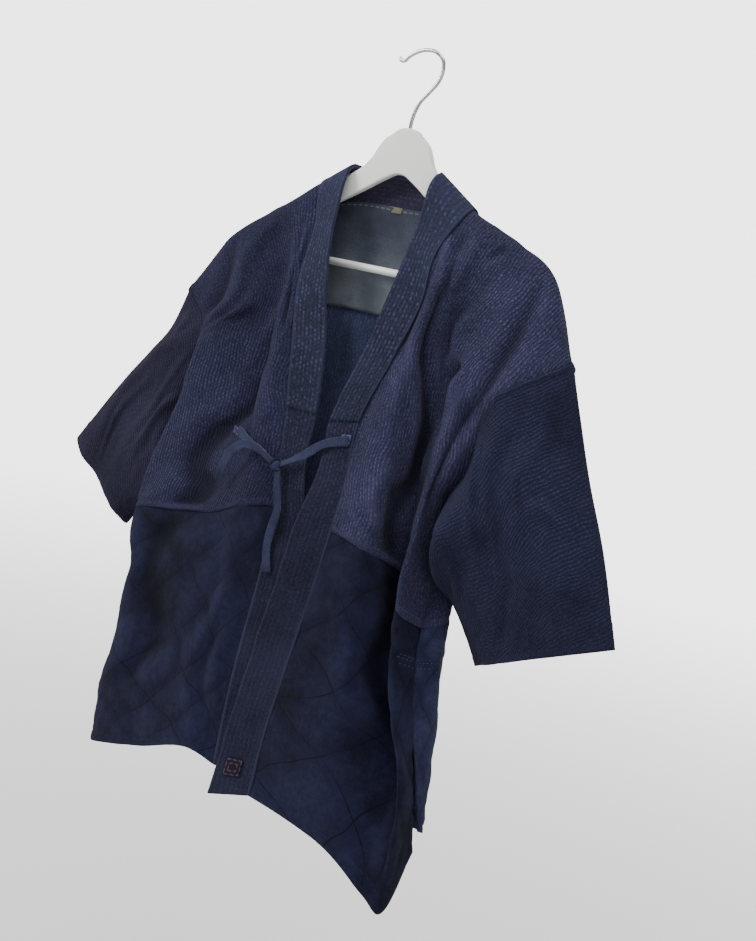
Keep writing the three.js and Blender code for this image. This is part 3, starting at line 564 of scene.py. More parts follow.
def swept(name, line, profile, material, turn=None):
    """A closed profile carried along a line: each ring is the line's point, plus the profile's first number
    along the side direction (tangent crossed with +Y) and its second along the direction square to both"""
    tangent = unit(np.gradient(line, axis=0))
    side = unit(np.cross(tangent, (0.0, 1.0, 0.0)))
    up = np.cross(side, tangent)
    if turn is not None:
        c, s = np.cos(turn)[:, None], np.sin(turn)[:, None]
        side, up = side * c + up * s, up * c - side * s
    shape = profile if profile.ndim == 3 else np.broadcast_to(profile, (len(line), *profile.shape))
    rings = line[:, None] + side[:, None] * shape[..., :1] + up[:, None] * shape[..., 1:]
    count, sides = rings.shape[:2]
    faces = tube_faces(count, sides).tolist()
    faces += [list(range(sides))[::-1], [(count - 1) * sides + k for k in range(sides)]]
    around = np.arange(sides + 1) / sides * TAPE_ROUND * MM
    along = lengths(line[:, None], 0) * MM
    pair = np.stack(np.broadcast_arrays(around, along), -1)
    corners = [pair[:-1, :-1], pair[:-1, 1:], pair[1:, 1:], pair[1:, :-1]]
    maps = {"cloth": np.concatenate([np.stack(corners, 2).reshape(-1, 2), np.zeros((2 * sides, 2))])}
    return put_mesh(name, rings.reshape(-1, 3), faces, maps, material)


def smooth_line(points, count, loop=False):
    """count points of one smooth curve through the given ones, with stations by chord length"""
    points = np.array(points, float)
    stations = lengths((np.vstack([points, points[:1]]) if loop else points)[:, None], 0)[:, 0]
    period = stations[-1] if loop else 0.0
    at = np.linspace(0, stations[-1], count + 1)[:-1] if loop else np.linspace(0, stations[-1], count)
    return curve_weights(stations[:-1] if loop else stations, at, period) @ points


def oval(wide, thick, sides, power=0.6):
    """A flat oval: cosine and sine, each raised to a power under one to square its corners a little"""
    angle = np.linspace(0, 2 * math.pi, sides, endpoint=False)
    turn = np.stack([np.cos(angle), np.sin(angle)], 1)
    return np.sign(turn) * np.abs(turn) ** power * (wide, thick) / 2


# Finishes


class Value:
    """A number or colour in a material. Sums, products, ramps and mixes of it become its further nodes."""

    def __init__(self, finish, socket):
        self.finish = finish
        self.socket = socket

    def math(self, operation, other=0.0):
        return self.finish.node("ShaderNodeMath", {0: self, 1: other}, operation=operation)

    def __add__(self, other):
        return self.math("ADD", other)

    def __sub__(self, other):
        return self.math("SUBTRACT", other)

    def __rsub__(self, other):
        return self.finish.node("ShaderNodeMath", {0: other, 1: self}, operation="SUBTRACT")

    def __mul__(self, other):
        return self.math("MULTIPLY", other)

    def __truediv__(self, other):
        return self.math("DIVIDE", other)

    def __abs__(self):
        return self.math("ABSOLUTE")

    def ramp(self, low, high, to_low=0.0, to_high=1.0):
        """A smooth step between low and high, led to the other two values"""
        inputs = {"Value": self, "From Min": low, "From Max": high, "To Min": to_low, "To Max": to_high}
        return self.finish.node("ShaderNodeMapRange", inputs, interpolation_type="SMOOTHSTEP")

    def mix(self, first, second):
        """The first colour where this is 0, the second where it is 1"""
        return self.finish.node("ShaderNodeMix", {0: self, 6: first, 7: second}, out=2, data_type="RGBA")


class Finish:
    """One material: a principled shader and the few nodes that feed it"""

    def __init__(self, name, roughness, metallic=0.0, sheen=0.0, specular=0.5):
        self.material = bpy.data.materials.new(name)
        self.material.use_nodes = True
        self.tree = self.material.node_tree
        self.shader = next(n for n in self.tree.nodes if n.type == "BSDF_PRINCIPLED")
        self.shader.inputs["Roughness"].default_value = roughness
        self.shader.inputs["Metallic"].default_value = metallic
        self.shader.inputs["Sheen Weight"].default_value = sheen
        self.shader.inputs["Sheen Roughness"].default_value = 0.6
        self.shader.inputs["Specular IOR Level"].default_value = specular

    def node(self, kind, inputs, out=0, **settings):
        made = self.tree.nodes.new(kind)
        for key, value in settings.items():
            setattr(made, key, value)
        for key, value in inputs.items():
            if isinstance(value, Value):
                self.tree.links.new(value.socket, made.inputs[key])
            else:
                made.inputs[key].default_value = value
        return Value(self, made.outputs[out])

    def place(self, label):
        """The two numbers of one of the piece's own maps"""
        first = self.node("ShaderNodeSeparateXYZ", {0: self.node("ShaderNodeUVMap", {}, uv_map=label)})
        return first, Value(self, first.socket.node.outputs[1])

    def own_place(self):
        return self.node("ShaderNodeTexCoord", {}, out=3)

    def noise(self, scale, detail, rough=0.55):
        inputs = {"Vector": self.own_place(), "Scale": scale, "Detail": detail, "Roughness": rough}
        return self.node("ShaderNodeTexNoise", inputs)

    def folds(self, tone, pale):
        """Painted shade darkens the cloth where it lies folded in, and a painted highlight pales its ridges
        """
        height, _ = self.place("fold")
        # Painted shade: darker in the troughs of the folds
        tone = height.ramp(-0.0015, -0.008, 0.0, 0.7).mix(tone, shade(*PAINTED_CREASE_SHADE))
        # Painted highlight: paler along the ridges of the folds
        return height.ramp(0.001, 0.004, 0.0, 0.2).mix(tone, pale)

    def colour(self, value):
        self.tree.links.new(value.socket, self.shader.inputs["Base Color"])

    def bump(self, height, distance, strength):
        made = self.node("ShaderNodeBump", {"Height": height, "Distance": distance, "Strength": strength})
        self.tree.links.new(made.socket, self.shader.inputs["Normal"])


def shade(red, green, blue):
    """A colour given as 0 to 255 screen values, as the shader's linear numbers"""
    linear = [((v / 255 + 0.055) / 1.055) ** 2.4 if v > 10 else v / 255 / 12.92 for v in (red, green, blue)]
    return (*linear, 1)


def tones(name):
    return [shade(*values) for values in TONES[name]]


def stitch_rows(finish, rows, dash, off):
    """Where running stitches lie, from 0 to 1: near one of the given distances from the edge, and inside a
    dash"""
    from_edge, run = finish.place("edge")
    inside = run.math("PINGPONG", dash).ramp(dash * off, dash * (off + 0.2))
    total = 0.0
    for row in rows:
        total = abs(from_edge - row * MM).ramp(0.0009, 0.0004) + total
    return total * inside


def sewn_columns(finish, u, v, pitch, long):
    """Columns of running stitches, each column half a stitch on from the last. Gives the raised stitch, the
    rib that it lies on, and a number from 0 to 1 for each stitch."""
    column = u / pitch
    number = column.math("FLOOR")
    row = v / long + number.math("PINGPONG", 1.0) * 0.5
    aside = abs(column.math("FRACT") - 0.5)
    apart = abs(row.math("FRACT") - 0.5)
    stitch = aside.ramp(0.3, 0.1) * apart.ramp(0.42, 0.24)
    seed = finish.node("ShaderNodeCombineXYZ", {0: number, 1: row.math("FLOOR")})
    chance = finish.node("ShaderNodeTexWhiteNoise", {"Vector": seed}, noise_dimensions="3D")
    return stitch, aside.ramp(0.5, 0.05), chance


def weave(u, v):
    """The rise and fall of a plain weave: one sine across times one along"""
    return (u * WEAVE).math("SINE") * (v * WEAVE).math("SINE")


def rice_stitch(name):
    """Thick indigo cotton quilted all over in columns of short pale stitches. Washing has left it paler in
    wide soft patches and along the stitches, and each stitch has its own wear. The folded edge is plainer,
    with one row of stitches."""
    dark, mid, pale = tones(name)
    finish = Finish(name, 0.95, sheen=0.03, specular=0.08)
    u, v = finish.place("cloth")
    drift = finish.noise(22, 3).ramp(0.25, 0.75, -0.003, 0.003)
    stitch, rib, chance = sewn_columns(finish, u + drift, v, RICE_PITCH * MM, RICE_LONG * MM)
    worn = finish.noise(7, 6, 0.62).ramp(0.36, 0.64)
    speck = finish.noise(560, 3, 0.7).ramp(0.34, 0.7)
    from_edge, _ = finish.place("edge")
    folded = from_edge.ramp(FOLDED_EDGE * MM, (FOLDED_EDGE - 1) * MM)
    ground = (worn * rib.ramp(0, 1, 0.3, 1.0)).mix(dark, mid)
    ground = (speck * 0.38).mix(ground, pale)
    seen = stitch * chance.ramp(0.1, 1.0, 0.06, 0.72) * worn.ramp(0, 1, 0.35, 1.0)
    seen = seen * folded.ramp(0, 1, 1.0, 0.3)
    tone = (folded * 0.07).mix(seen.mix(ground, pale), pale)
    thread = stitch_rows(finish, (FOLDED_EDGE,), 0.0046, 0.3)
    tone = (thread * 0.22).mix(tone, pale)
    # Painted shade in the folds and painted highlight on their ridges
    finish.colour(finish.folds(tone, pale))
    height = (stitch * 0.45 + rib * 0.4) * folded.ramp(0, 1, 1.0, 0.35) + speck * 0.4
    finish.bump(height, 0.001, 0.85)
    return finish.material


def quilted_cotton(name):
    """Fine navy cotton in two layers, rubbed paler on the pillows and in blotches, with dark thread along
    the quilt map's whole numbers"""
    dark, mid, pale = tones(name)
    finish = Finish(name, 0.93, sheen=0.03, specular=0.1)
    lines, raised = 0.0, 1.0
    for number in finish.place("quilt"):
        away = abs((number + 0.5).math("FRACT") - 0.5)
        lines = away.ramp(0.018, 0.004).math("MAXIMUM", lines)
        raised = away.ramp(0.02, 0.3) * raised
    worn = finish.noise(10, 6, 0.62).ramp(0.34, 0.66)
    fine = finish.noise(120, 5, 0.68).ramp(0.32, 0.68)
    speck = finish.noise(700, 2, 0.7).ramp(0.4, 0.7)
    ground = (worn * fine.ramp(0, 1, 0.65, 1.0)).mix(dark, mid)
    ground = (raised * fine * 0.22).mix(ground, pale)
    ground = (speck * 0.16).mix(ground, pale)
    tone = (stitch_rows(finish, HEM_ROWS, 0.0045, 0.35) * 0.2).mix(ground, pale)
    dashes = finish.noise(26, 3).ramp(0.34, 0.58, 0.2, 0.85)
    tone = (lines * dashes).mix(tone, shade(*QUILT_THREAD))
    # Painted shade in the folds and painted highlight on their ridges
    finish.colour(finish.folds(tone, pale))
    crumple = finish.noise(45, 5, 0.65)
    height = crumple * 2.6 + fine * 0.5 + weave(*finish.place("cloth")) * 0.12
    finish.bump(height, 0.0012, 0.75)
    return finish.material


def stitched_band(name, share):
    """Folded cotton with lengthwise rows of running stitches from seam to inner edge, rubbed at the edge.
    Painted light makes it brighter, with clearer rows and stitches, towards the neck at its top, fading
    towards both hems."""
    dark, mid, pale = tones(name)
    finish = Finish(name, 0.94, sheen=0.03, specular=0.08)
    across, along = finish.place("cloth")
    drift = finish.noise(30, 2).ramp(0.25, 0.75, -0.0012, 0.0012)
    pitch = BAND_WIDTH * MM / BAND_ROWS
    stitch, rib, chance = sewn_columns(finish, across + drift, along, pitch, BAND_LONG * MM)
    worn = finish.noise(12, 5, 0.62).ramp(0.34, 0.66)
    speck = finish.noise(430, 4, 0.75).ramp(0.42, 0.68)
    from_middle = abs(along - BAND_MIDDLE * MM)
    # Painted light from above: brighter towards the neck, darker towards both hems
    painted_top_light = from_middle.ramp(0.58, 0.2, 0.14, 1.3)
    # Painted light: paler still round the neck
    round_neck = from_middle.ramp(0.28, 0.08, 0.0, 0.3)
    hollow = painted_top_light.ramp(0, 1, 0.8, 0.4)
    rows = hollow + rib * (1.0 - hollow)
    ground = (worn * rows * 0.9).mix(dark, mid)
    ground = round_neck.mix(ground, pale)
    ground = (speck * painted_top_light.ramp(0, 1, 0.2, 0.42)).mix(ground, pale)
    seen = stitch * chance.ramp(0.2, 1.0, 0.04, 0.85 * share) * painted_top_light
    from_edge, _ = finish.place("edge")
    edge = from_edge.ramp(0.0024, 0.0006) * 0.3
    finish.colour(seen.math("MAXIMUM", edge).mix(ground, pale))
    height = stitch * painted_top_light.ramp(0, 1, 0.35, 1.0) * 0.4 + speck * 0.55 + rib * 0.1
    finish.bump(height, 0.0009, 0.85)
    return finish.material


def plain_weave(name, rows=(), faded=None, tape_edge_highlight=False):
    """Plain cloth: soft worn patches over a fine weave, with its own rows of stitches where it has them.
    It can fade towards a paler colour between two lengths along it, or be a tape with a painted highlight
    along both edges."""
    dark, mid, *thread = tones(name)
    finish = Finish(name, 0.92, sheen=0.03, specular=0.1)
    u, v = finish.place("cloth")
    worn = finish.noise(24, 5, 0.6).ramp(0.33, 0.67)
    fine = finish.noise(420, 3, 0.7).ramp(0.3, 0.7)
    tone = (worn * fine.ramp(0, 1, 0.5, 1.0)).mix(dark, mid)
    if faded:
        start, end = faded
        tone = (v.ramp(start * MM, end * MM) * worn.ramp(0, 1, 0.65, 1.0)).mix(tone, shade(*FADED_LINING))
    if tape_edge_highlight:
        # Painted highlight along both folded edges of the tape
        side = abs((u / (TAPE_ROUND * MM / 2)).math("FRACT") - 0.5)
        tone = (side.ramp(0.3, 0.47) * fine * 0.75).mix(tone, thread[0])
    if rows:
        tone = (stitch_rows(finish, rows, 0.004, 0.25) * 0.8).mix(tone, thread[0])
    finish.colour(tone)
    finish.bump(fine + weave(u, v) * 0.4, 0.0005, 0.7)
    return finish.material


def moulded_plastic(name):
    """White plastic, satin, a little uneven from the mould, faintly grey where it is handled"""
    finish = Finish(name, 0.34, specular=0.5)
    finish.colour(finish.noise(7, 3).ramp(0.35, 0.7).mix(*tones(name)))
    finish.bump(finish.noise(420, 2), 0.0002, 0.25)
    return finish.material


def plated_wire(name):
    """Bright chrome with a few fine draw marks"""
    finish = Finish(name, 0.16, metallic=1.0)
    finish.colour(finish.noise(30, 3).ramp(0.3, 0.7).mix(*tones(name)))
    finish.bump(finish.noise(1200, 2), 0.0001, 0.15)
    return finish.material


# The garment's own surface


def half_net(side):
    """Guide points of one half, from the front hem over the shoulder to the back hem, and their stations"""
    sign = 1 if side == "left" else -1

    def guides(table, drops):
        return np.array([
            [(x, y, row[0] + (row[1] - row[0]) * drop) for x, y, drop in zip(row[2::2], row[3::2], drops)]
            for row in table
        ], float)

    front, back = guides(FRONT[side], FRONT_DROP), guides(BACK[side], BACK_DROP)
    front[-1, :, 2] += HEM_DROP[side]

    def ridge(y, dip):
        return np.array([(x, y, z - dip) for x, z in SHOULDER[side]], float)

    def beyond(points):
        steps_out = np.array([(FOLD_AT[0] * sign, 0, 0), (FOLD_AT[1] * sign, 0, 0)], float)
        return np.vstack([points[0] + steps_out, points])

    def carried(share):
        return back[0][:2] + (back[0][:2] - back[1][:2]) * share

    rows = [beyond(points) for points in front[::-1]]
    rows.append(beyond(ridge(-SHOULDER_ROLL, SHOULDER_DIP)))
    rows.append(np.vstack([carried(0.8), ridge(0, 0)]))
    rows.append(np.vstack([carried(0.6), ridge(SHOULDER_ROLL, SHOULDER_DIP)]))
    rows.extend(back)
    stations = [-v for v in ROW_AT[::-1]] + [0] + ROW_AT
    return np.array(rows), stations


NETS = {side: half_net(side) for side in SIDES}


def half_surface(side, along, across):
    """Points of one half at every pair of cloth distances along and across"""
    net, stations = NETS[side]
    return np.einsum("ir,rcx,jc->ijx", curve_weights(stations, along), net, curve_weights(FOLD_AT, across))


def joined_sides(points, front_edge, across):
    """The back's last columns led onto the front's edge"""
    share = smooth_step(SIDE_EDGE - JOIN_OVER, SIDE_EDGE, across)[None, :, None]
    return points + (front_edge - points[:, -1])[:, None] * share


def cloth_maps(points, start_column, start_row, edge, run, relief):
    """Three maps in metres: cloth length from the start column and row, distance from the stitched edge
    with the distance run beside it, and height of the folds"""
    across, along = lengths(points, 1), lengths(points, 0)
    across = across - across[:, [start_column]]
    along = along - along[[start_row]]
    return {
        "cloth": np.stack([across, along], -1) * MM,
        "edge": np.stack([edge, run], -1) * MM,
        "fold": np.stack([relief, 0 * relief], -1) * MM,
    }


def settled(u, v, side_name):
    """Height of the cloth's own unevenness: its creases, wide soft hills and small ones"""
    height = crease_depth(u, v, CREASES[side_name])
    return height + sum(high * hills(u, v, wide, tall, seed) for high, wide, tall, seed in SETTLED)


def seam_pucker(distance, run, seed, deep=0.8):
    """Gathers along a seam: a groove at the stitches, and short waves that die out 16 mm from it"""
    near = np.exp(-((distance / PUCKER_REACH) ** 2))
    groove = -GROOVE_DEEP * np.exp(-((distance / GROOVE_WIDE) ** 2))
    return groove + deep * near * hills(run, distance * 0.3, PUCKER_WAVE, 30, seed)


def body_relief(side, u, v):
    """Height of the upper body's face: its creases and hills, gathers along its seams, a low folded edge at
    the waist, and all of it fading out at the waist, the centre back and the armhole"""
    hem = WAIST - np.abs(v)
    relief = settled(u, v, f"body_{side}") * (smooth_step(-4, 14, SIDE_EDGE - u) * 0.8 + 0.2)
    relief += seam_pucker(hem, u, 11, deep=1.1) + seam_pucker(SIDE_EDGE - u, v, 12, deep=0.5)
    neck = np.where(v < NECK_ROW, u, np.hypot(np.maximum(u, 0), v - NECK_ROW))
    relief += seam_pucker(neck, v + u, 13, deep=0.5)
    relief += 0.3 * smooth_step(FOLDED_EDGE + 1, FOLDED_EDGE - 1, hem)
    relief -= 0.5 * np.exp(-(((hem - FOLDED_EDGE - 1) / 1.8) ** 2))
    return relief * (smooth_step(-1, 12, np.minimum(hem, u - CENTRE_BACK)) * 0.85 + 0.15)


def body_half(side, material, inside):
    along = steps(-WAIST, 0, NECK_ROW, ARMPIT, WAIST)
    across = steps(CENTRE_BACK, 0, SIDE_EDGE)
    middle = half_surface(side, along, across)
    back_side = along >= ARMPIT
    front_edge = half_surface(side, -along[back_side], [SIDE_EDGE])[:, 0]
    middle[back_side] = joined_sides(middle[back_side], front_edge, across)
    v, u = np.meshgrid(along, across, indexing="ij")
    flip = side == "right"
    edge = WAIST - np.abs(v)
    relief = body_relief(side, u, v)
    middle = middle + facing(middle, flip) * relief[..., None]
    middle[..., 2] += WAIST_WAVER * hills(u, 0.0, 15, 30, 19) * smooth_step(16, 0, edge)
    has = ~((u[:-1, :-1] < -0.01) & (v[:-1, :-1] < NECK_ROW - 0.01))
    start = int(np.argmin(np.abs(across - VALLEY)))
    maps = cloth_maps(middle, start, int(np.argmin(np.abs(along))), edge, u + v, relief)
    return wall(f"upper_{side}_cloth", middle, BODY_WALL, maps, material, flip=flip, has=has, lining=inside)


def quilt_numbers(u, v, seed):
    """Slanted lines of stitching: two numbers that pass whole values along crossing diagonals, wandering a
    bit"""
    wander = 0.16 * hills(u, v, 46, 60, seed) + 0.05 * hills(u, v, 17, 21, seed + 1)
    wander_2 = 0.16 * hills(u, v, 50, 56, seed + 2) + 0.05 * hills(u, v, 19, 18, seed + 3)
    return u / DIAMOND_WIDE + v / DIAMOND_TALL + wander, u / DIAMOND_WIDE - v / DIAMOND_TALL + wander_2


def skirt_panel(side, behind, material):
    along = steps(WAIST - 5, HEM) if behind else steps(-HEM, -WAIST + 5)
    across = steps(CENTRE_BACK if behind else 0, SIDE_EDGE)
    middle = half_surface(side, along, across)
    if behind:
        front_edge = half_surface(side, -along, [SIDE_EDGE])[:, 0]
        apart = smooth_step(VENT - 30, VENT + 30, along)[:, None]
        middle = joined_sides(middle, front_edge * (1 - apart) + middle[:, -1] * apart, across)
    v, u = np.meshgrid(along, across, indexing="ij")
    flip = side == "right"
    a, b = quilt_numbers(u, v, 21 if behind else 31)
    pillow = (np.abs(np.sin(math.pi * a)) * np.abs(np.sin(math.pi * b))) ** 0.45
    down = np.abs(v)
    fold = HEM - HEM_FOLD
    quilted = smooth_step(WAIST + 2, WAIST + 20, down) * smooth_step(fold, fold - 6, down)
    relief = settled(u, v, f"skirt_{side}") + DIAMOND_DEEP * (pillow - 0.45) * quilted
    relief += 0.7 * hills(u, v, 9, 13, 8) * quilted
    relief += seam_pucker(down - WAIST, u, 14, deep=1.0) + 0.5 * seam_pucker(fold - down, u, 15)
    relief += 0.35 * seam_pucker(SIDE_EDGE - 10 - u, v, 16)
    if not behind:
        relief *= smooth_step(-1, 14, u) * 0.8 + 0.2
    relief -= 1.3 * smooth_step(WAIST + 1.5, WAIST - 1, down)
    middle = middle + facing(middle, flip) * relief[..., None]
    edge = np.minimum(HEM - down, np.where(down > VENT, SIDE_EDGE - u, 90))
    start = int(np.argmin(np.abs(across - VALLEY)))
    row = 0 if behind else len(along) - 1
    maps = cloth_maps(middle, start, row, edge, u + v, relief)
    maps["quilt"] = np.stack([a, b], -1)
    where = "back" if behind else "front"
    thick = SKIRT_WALL + 1.2 * smooth_step(fold - 1, fold + 3, down)
    face = middle + facing(middle, flip) * thick[..., None] / 2
    return wall(f"skirt_{where}_{side}_cloth", middle, thick, maps, material, flip=flip), face


def closed_up(grid):
    """The grid with its first column again as the last"""
    return np.concatenate([grid, grid[:, :1]], 1)


def round_facing(middle, flip):
    """The direction square to a grid whose last column meets its first"""
    return facing(np.concatenate([middle[:, -1:], closed_up(middle)], 1), flip)[:, 1:-1]


def sleeve(side, material):
    """Rings from just inside the armhole to the cuff. A column goes from the body's edge through the
    sections."""
    out = steps(-4, 0, CUFF)
    around = np.linspace(0, SLEEVE_ROUND, SLEEVE_COLUMNS, endpoint=False)
    along = np.where(around <= ARMPIT, -around, SLEEVE_ROUND - around)
    root = half_surface(side, along, [SIDE_EDGE])[:, 0]
    rings = np.array(SLEEVE[side], float)
    sections = np.einsum("jk,skx->jsx", curve_weights(SLEEVE_ROUND_AT, around, SLEEVE_ROUND), rings)
    guides = np.concatenate([root[:, None], sections], 1)
    middle = np.einsum("is,jsx->ijx", curve_weights(SLEEVE_AT, out), guides)
    s, t = np.meshgrid(out, around, indexing="ij")
    flip = side == "left"
    relief = settled(t, s, f"sleeve_{side}")
    relief *= smooth_step(0, 40, np.minimum(t, SLEEVE_ROUND - t)) * smooth_step(0, 30, s) * 0.9 + 0.1
    relief += seam_pucker(s, t, 17, deep=0.6) + 0.5 * seam_pucker(CUFF - CUFF_FOLD - s, t, 18, deep=0.5)
    relief -= 0.7 * smooth_step(3, 0, s)
    middle = middle + round_facing(middle, flip) * relief[..., None]
    across, run = lengths(closed_up(middle), 1), closed_up(lengths(middle, 0))
    round_it = np.concatenate([t, t[:, -1:] + SLEEVE_ROUND / SLEEVE_COLUMNS], 1)
    height = closed_up(relief)
    maps = {
        "cloth": np.stack([run, across], -1) * MM,
        "edge": np.stack([closed_up(CUFF - s), round_it], -1) * MM,
        "fold": np.stack([height, 0 * height], -1) * MM,
    }
    thick = BODY_WALL + 0.9 * smooth_step(CUFF - CUFF_FOLD - 2, CUFF - CUFF_FOLD + 2, s)
    square = round_facing(middle, flip)
    return wall(f"sleeve_{side}_cloth", middle, thick, maps, material, flip=flip, closed=True, out=square)


def band_lines():
    """Seam and inner edge of the band as two lines of points from the left hem round the neck to the right
    hem, and the cloth distance to the shoulder at each, nought behind the neck"""
    fronts = steps(HEM, 0)
    pairs = {}
    for side in SIDES:
        seam = half_surface(side, -fronts, [0])[:, 0]
        top = np.array(BAND_INNER[side][0], float) + (0, SHOULDER_ROLL, SHOULDER_DIP)
        inner = curve_weights([0] + ROW_AT, fronts) @ np.vstack([top, BAND_INNER[side]])
        pairs[side] = seam, inner
    over = steps(0, NECK_ROW)
    behind = steps(0, CENTRE_BACK)
    seam = np.concatenate([
        half_surface("left", over, [0])[:, 0],
        half_surface("left", [NECK_ROW], behind)[0][1:],
        half_surface("right", [NECK_ROW], behind[::-1])[0][1:],
        half_surface("right", over[::-1], [0])[1:, 0],
    ])
    run = lengths(seam[:, None], 0)[:, 0]
    tops = np.vstack([pairs["left"][1][-1:], BAND_BEHIND, pairs["right"][1][-1:]])
    inner = curve_weights(np.linspace(0, run[-1], len(tops)), run) @ tops
    seams = np.concatenate([pairs["left"][0], seam[1:-1], pairs["right"][0][::-1]])
    inners = np.concatenate([pairs["left"][1], inner[1:-1], pairs["right"][1][::-1]])
    wave = BAND_WAVER * hills(lengths(inners[:, None], 0)[:, 0], 0.0, 21, 30, 71)[:, None]
    inners = inners + unit(inners - seams) * wave
    down = np.concatenate([fronts, np.zeros(len(seam) - 2), fronts[::-1]])
    return seams, inners, down


SEAM_LINE, INNER_LINE, BAND_DOWN = band_lines()


def band_grid(share):
    """Points between the seam and the inner edge at each share of the width"""
    return SEAM_LINE[:, None] + (INNER_LINE - SEAM_LINE)[:, None] * share[None, :, None]


def collar_band(material, over_material, inside):
    share = np.concatenate([[-0.035], steps(0, BAND_WIDTH, step=BAND_STEP) / BAND_WIDTH])
    middle = band_grid(share)
    run = lengths(middle, 0)[:, [len(share) // 2]]
    w, s = share[None] * BAND_WIDTH + 0 * run, run + 0 * share[None]
    out = facing(middle, True)
    puff = np.abs(np.sin(math.pi * BAND_ROWS * share))[None] ** 0.6 * BAND_DEEP
    relief = puff + 0.6 * hills(w, s, 34, 60, 41) + 0.3 * hills(w, s, 14, 16, 42)
    relief = relief * smooth_step(0, 3, BAND_WIDTH - w)
    from_edge = np.minimum(w, BAND_WIDTH - w)
    maps = {"cloth": np.stack([w, s], -1) * MM, "edge": np.stack([from_edge, s], -1) * MM}
    rounded = np.sqrt(np.clip(1 - (1 - (BAND_WIDTH - w) / BAND_ROUND) ** 2, 0.06, 1))
    thick = BAND_WALL * np.where(w > BAND_WIDTH - BAND_ROUND, rounded, 1)
    raised = middle + out * relief[..., None]
    band = wall("collar_band_cloth", raised, thick, maps, material, flip=True, lining=inside)
    rows = BAND_DOWN <= OVER_COLLAR_END
    step = (BAND_WALL + OVER_COLLAR_WALL) / 2 + LAYER_GAP
    end = smooth_step(0, 3, OVER_COLLAR_END - BAND_DOWN)[:, None] * 0.7 + 0.3
    layer = middle + out * (relief + step * end)[..., None]
    over_thick = OVER_COLLAR_WALL * np.clip(thick / BAND_WALL, 0.4, 1)
    over_maps = {label: pairs[rows] for label, pairs in maps.items()}
    over = wall("over_collar_cloth", layer[rows], over_thick[rows], over_maps, over_material, flip=True)
    return band, over


def yoke_lining(material):
    along, across = steps(NECK_ROW, LINING_END), steps(CENTRE_BACK, 0)
    step = (BODY_WALL + LINING_WALL) / 2 + LAYER_GAP + 0.5
    v, u = np.meshgrid(along, across, indexing="ij")
    groove = np.exp(-(((v - 62 - 4 * hills(u, v, 30, 50, 62)) / 3) ** 2))
    relief = 0.5 * hills(u, v, 40, 30, 61) + 0.5 - 0.5 * groove
    relief += 1.1 * np.exp(-(((u + 4 + 0.12 * (v - 55)) / 4) ** 2))
    parts = {}
    for side in SIDES:
        half = half_surface(side, along, across)
        inward = step + relief - body_relief(side, u, v)
        parts[side] = half - facing(half, side == "right") * inward[..., None]
    middle = np.concatenate([parts["right"][:, ::-1][:, :-1], parts["left"]], 1)
    edge = np.minimum(LINING_END - v, v - NECK_ROW)
    edge = np.concatenate([edge[:, ::-1][:, :-1], edge], 1)
    width = lengths(middle, 1)
    maps = {
        "cloth": np.stack([width, lengths(middle, 0)], -1) * MM,
        "edge": np.stack([edge, width], -1) * MM,
    }
    return wall("yoke_lining_cloth", middle, LINING_WALL, maps, material, flip=True)


def patch(name, corners, material, rise):
    """A small patch between four points, lower and upper of both sides, pillowed between its stitched
    edges"""
    f = np.linspace(0, 1, 14)
    g, h = np.meshgrid(f, f, indexing="ij")
    (a, b), (c, d) = corners
    middle = (a * (1 - g[..., None]) + b * g[..., None]) * (1 - h[..., None])
    middle = middle + (c * (1 - g[..., None]) + d * g[..., None]) * h[..., None]
    flip = facing(middle)[0, 0, 1] > 0
    pillow = (np.sin(math.pi * g) * np.sin(math.pi * h)) ** 0.4
    middle = middle + facing(middle, flip) * (rise + 0.5 * pillow)[..., None]
    wide, tall = np.linalg.norm(c - a), np.linalg.norm(b - a)
    edge = np.minimum(np.minimum(h, 1 - h) * wide, np.minimum(g, 1 - g) * tall)
    maps = {
        "cloth": np.stack([h * wide, g * tall], -1) * MM,
        "edge": np.stack([edge, h * wide + g * tall], -1) * MM,
    }
    return wall(name, middle, PATCH_WALL, maps, material, flip=flip)


def patch_corner(node, share, down):
    """A place on the right front at two cloth distances, or on the left half of the band"""
    if node == "tie_patch_right":
        return half_surface("right", [down], [share])[0, 0]
    count = int(np.argmax(BAND_DOWN == 0))
    seam = [np.interp(-down, -BAND_DOWN[:count], SEAM_LINE[:count, k]) for k in range(3)]
    inner = [np.interp(-down, -BAND_DOWN[:count], INNER_LINE[:count, k]) for k in range(3)]
    return np.array(seam) * (1 - share) + np.array(inner) * share


def threads(name, starts, ends, radius, material):
    """Short stitches: each a six-sided spindle from its start to its end, thinner at both"""
    sides, count = 6, len(starts)
    f = np.linspace(0, 1, 5)
    line = starts[:, None] * (1 - f)[:, None] + ends[:, None] * f[:, None]
    tangent = unit(ends - starts)
    side = unit(np.cross(tangent, (0.0, 0.0, 1.0)))
    up = np.cross(side, tangent)
    angle = np.linspace(0, 2 * math.pi, sides, endpoint=False)
    girth = radius * np.array([0.25, 0.9, 1.0, 0.9, 0.25])
    ring = side[:, None, None] * np.cos(angle)[:, None] + up[:, None, None] * np.sin(angle)[:, None]
    rings = line[:, :, None] + ring * girth[:, None, None]
    firsts = np.arange(count) * len(f) * sides
    faces = (tube_faces(len(f), sides) + firsts[:, None, None]).reshape(-1, 4).tolist()
    for first in firsts.tolist():
        faces.append([first + m for m in range(sides)][::-1])
        faces.append([first + (len(f) - 1) * sides + m for m in range(sides)])
    pairs = np.zeros((sum(len(face) for face in faces), 2))
    return put_mesh(name, rings.reshape(-1, 3), faces, {"cloth": pairs}, material)


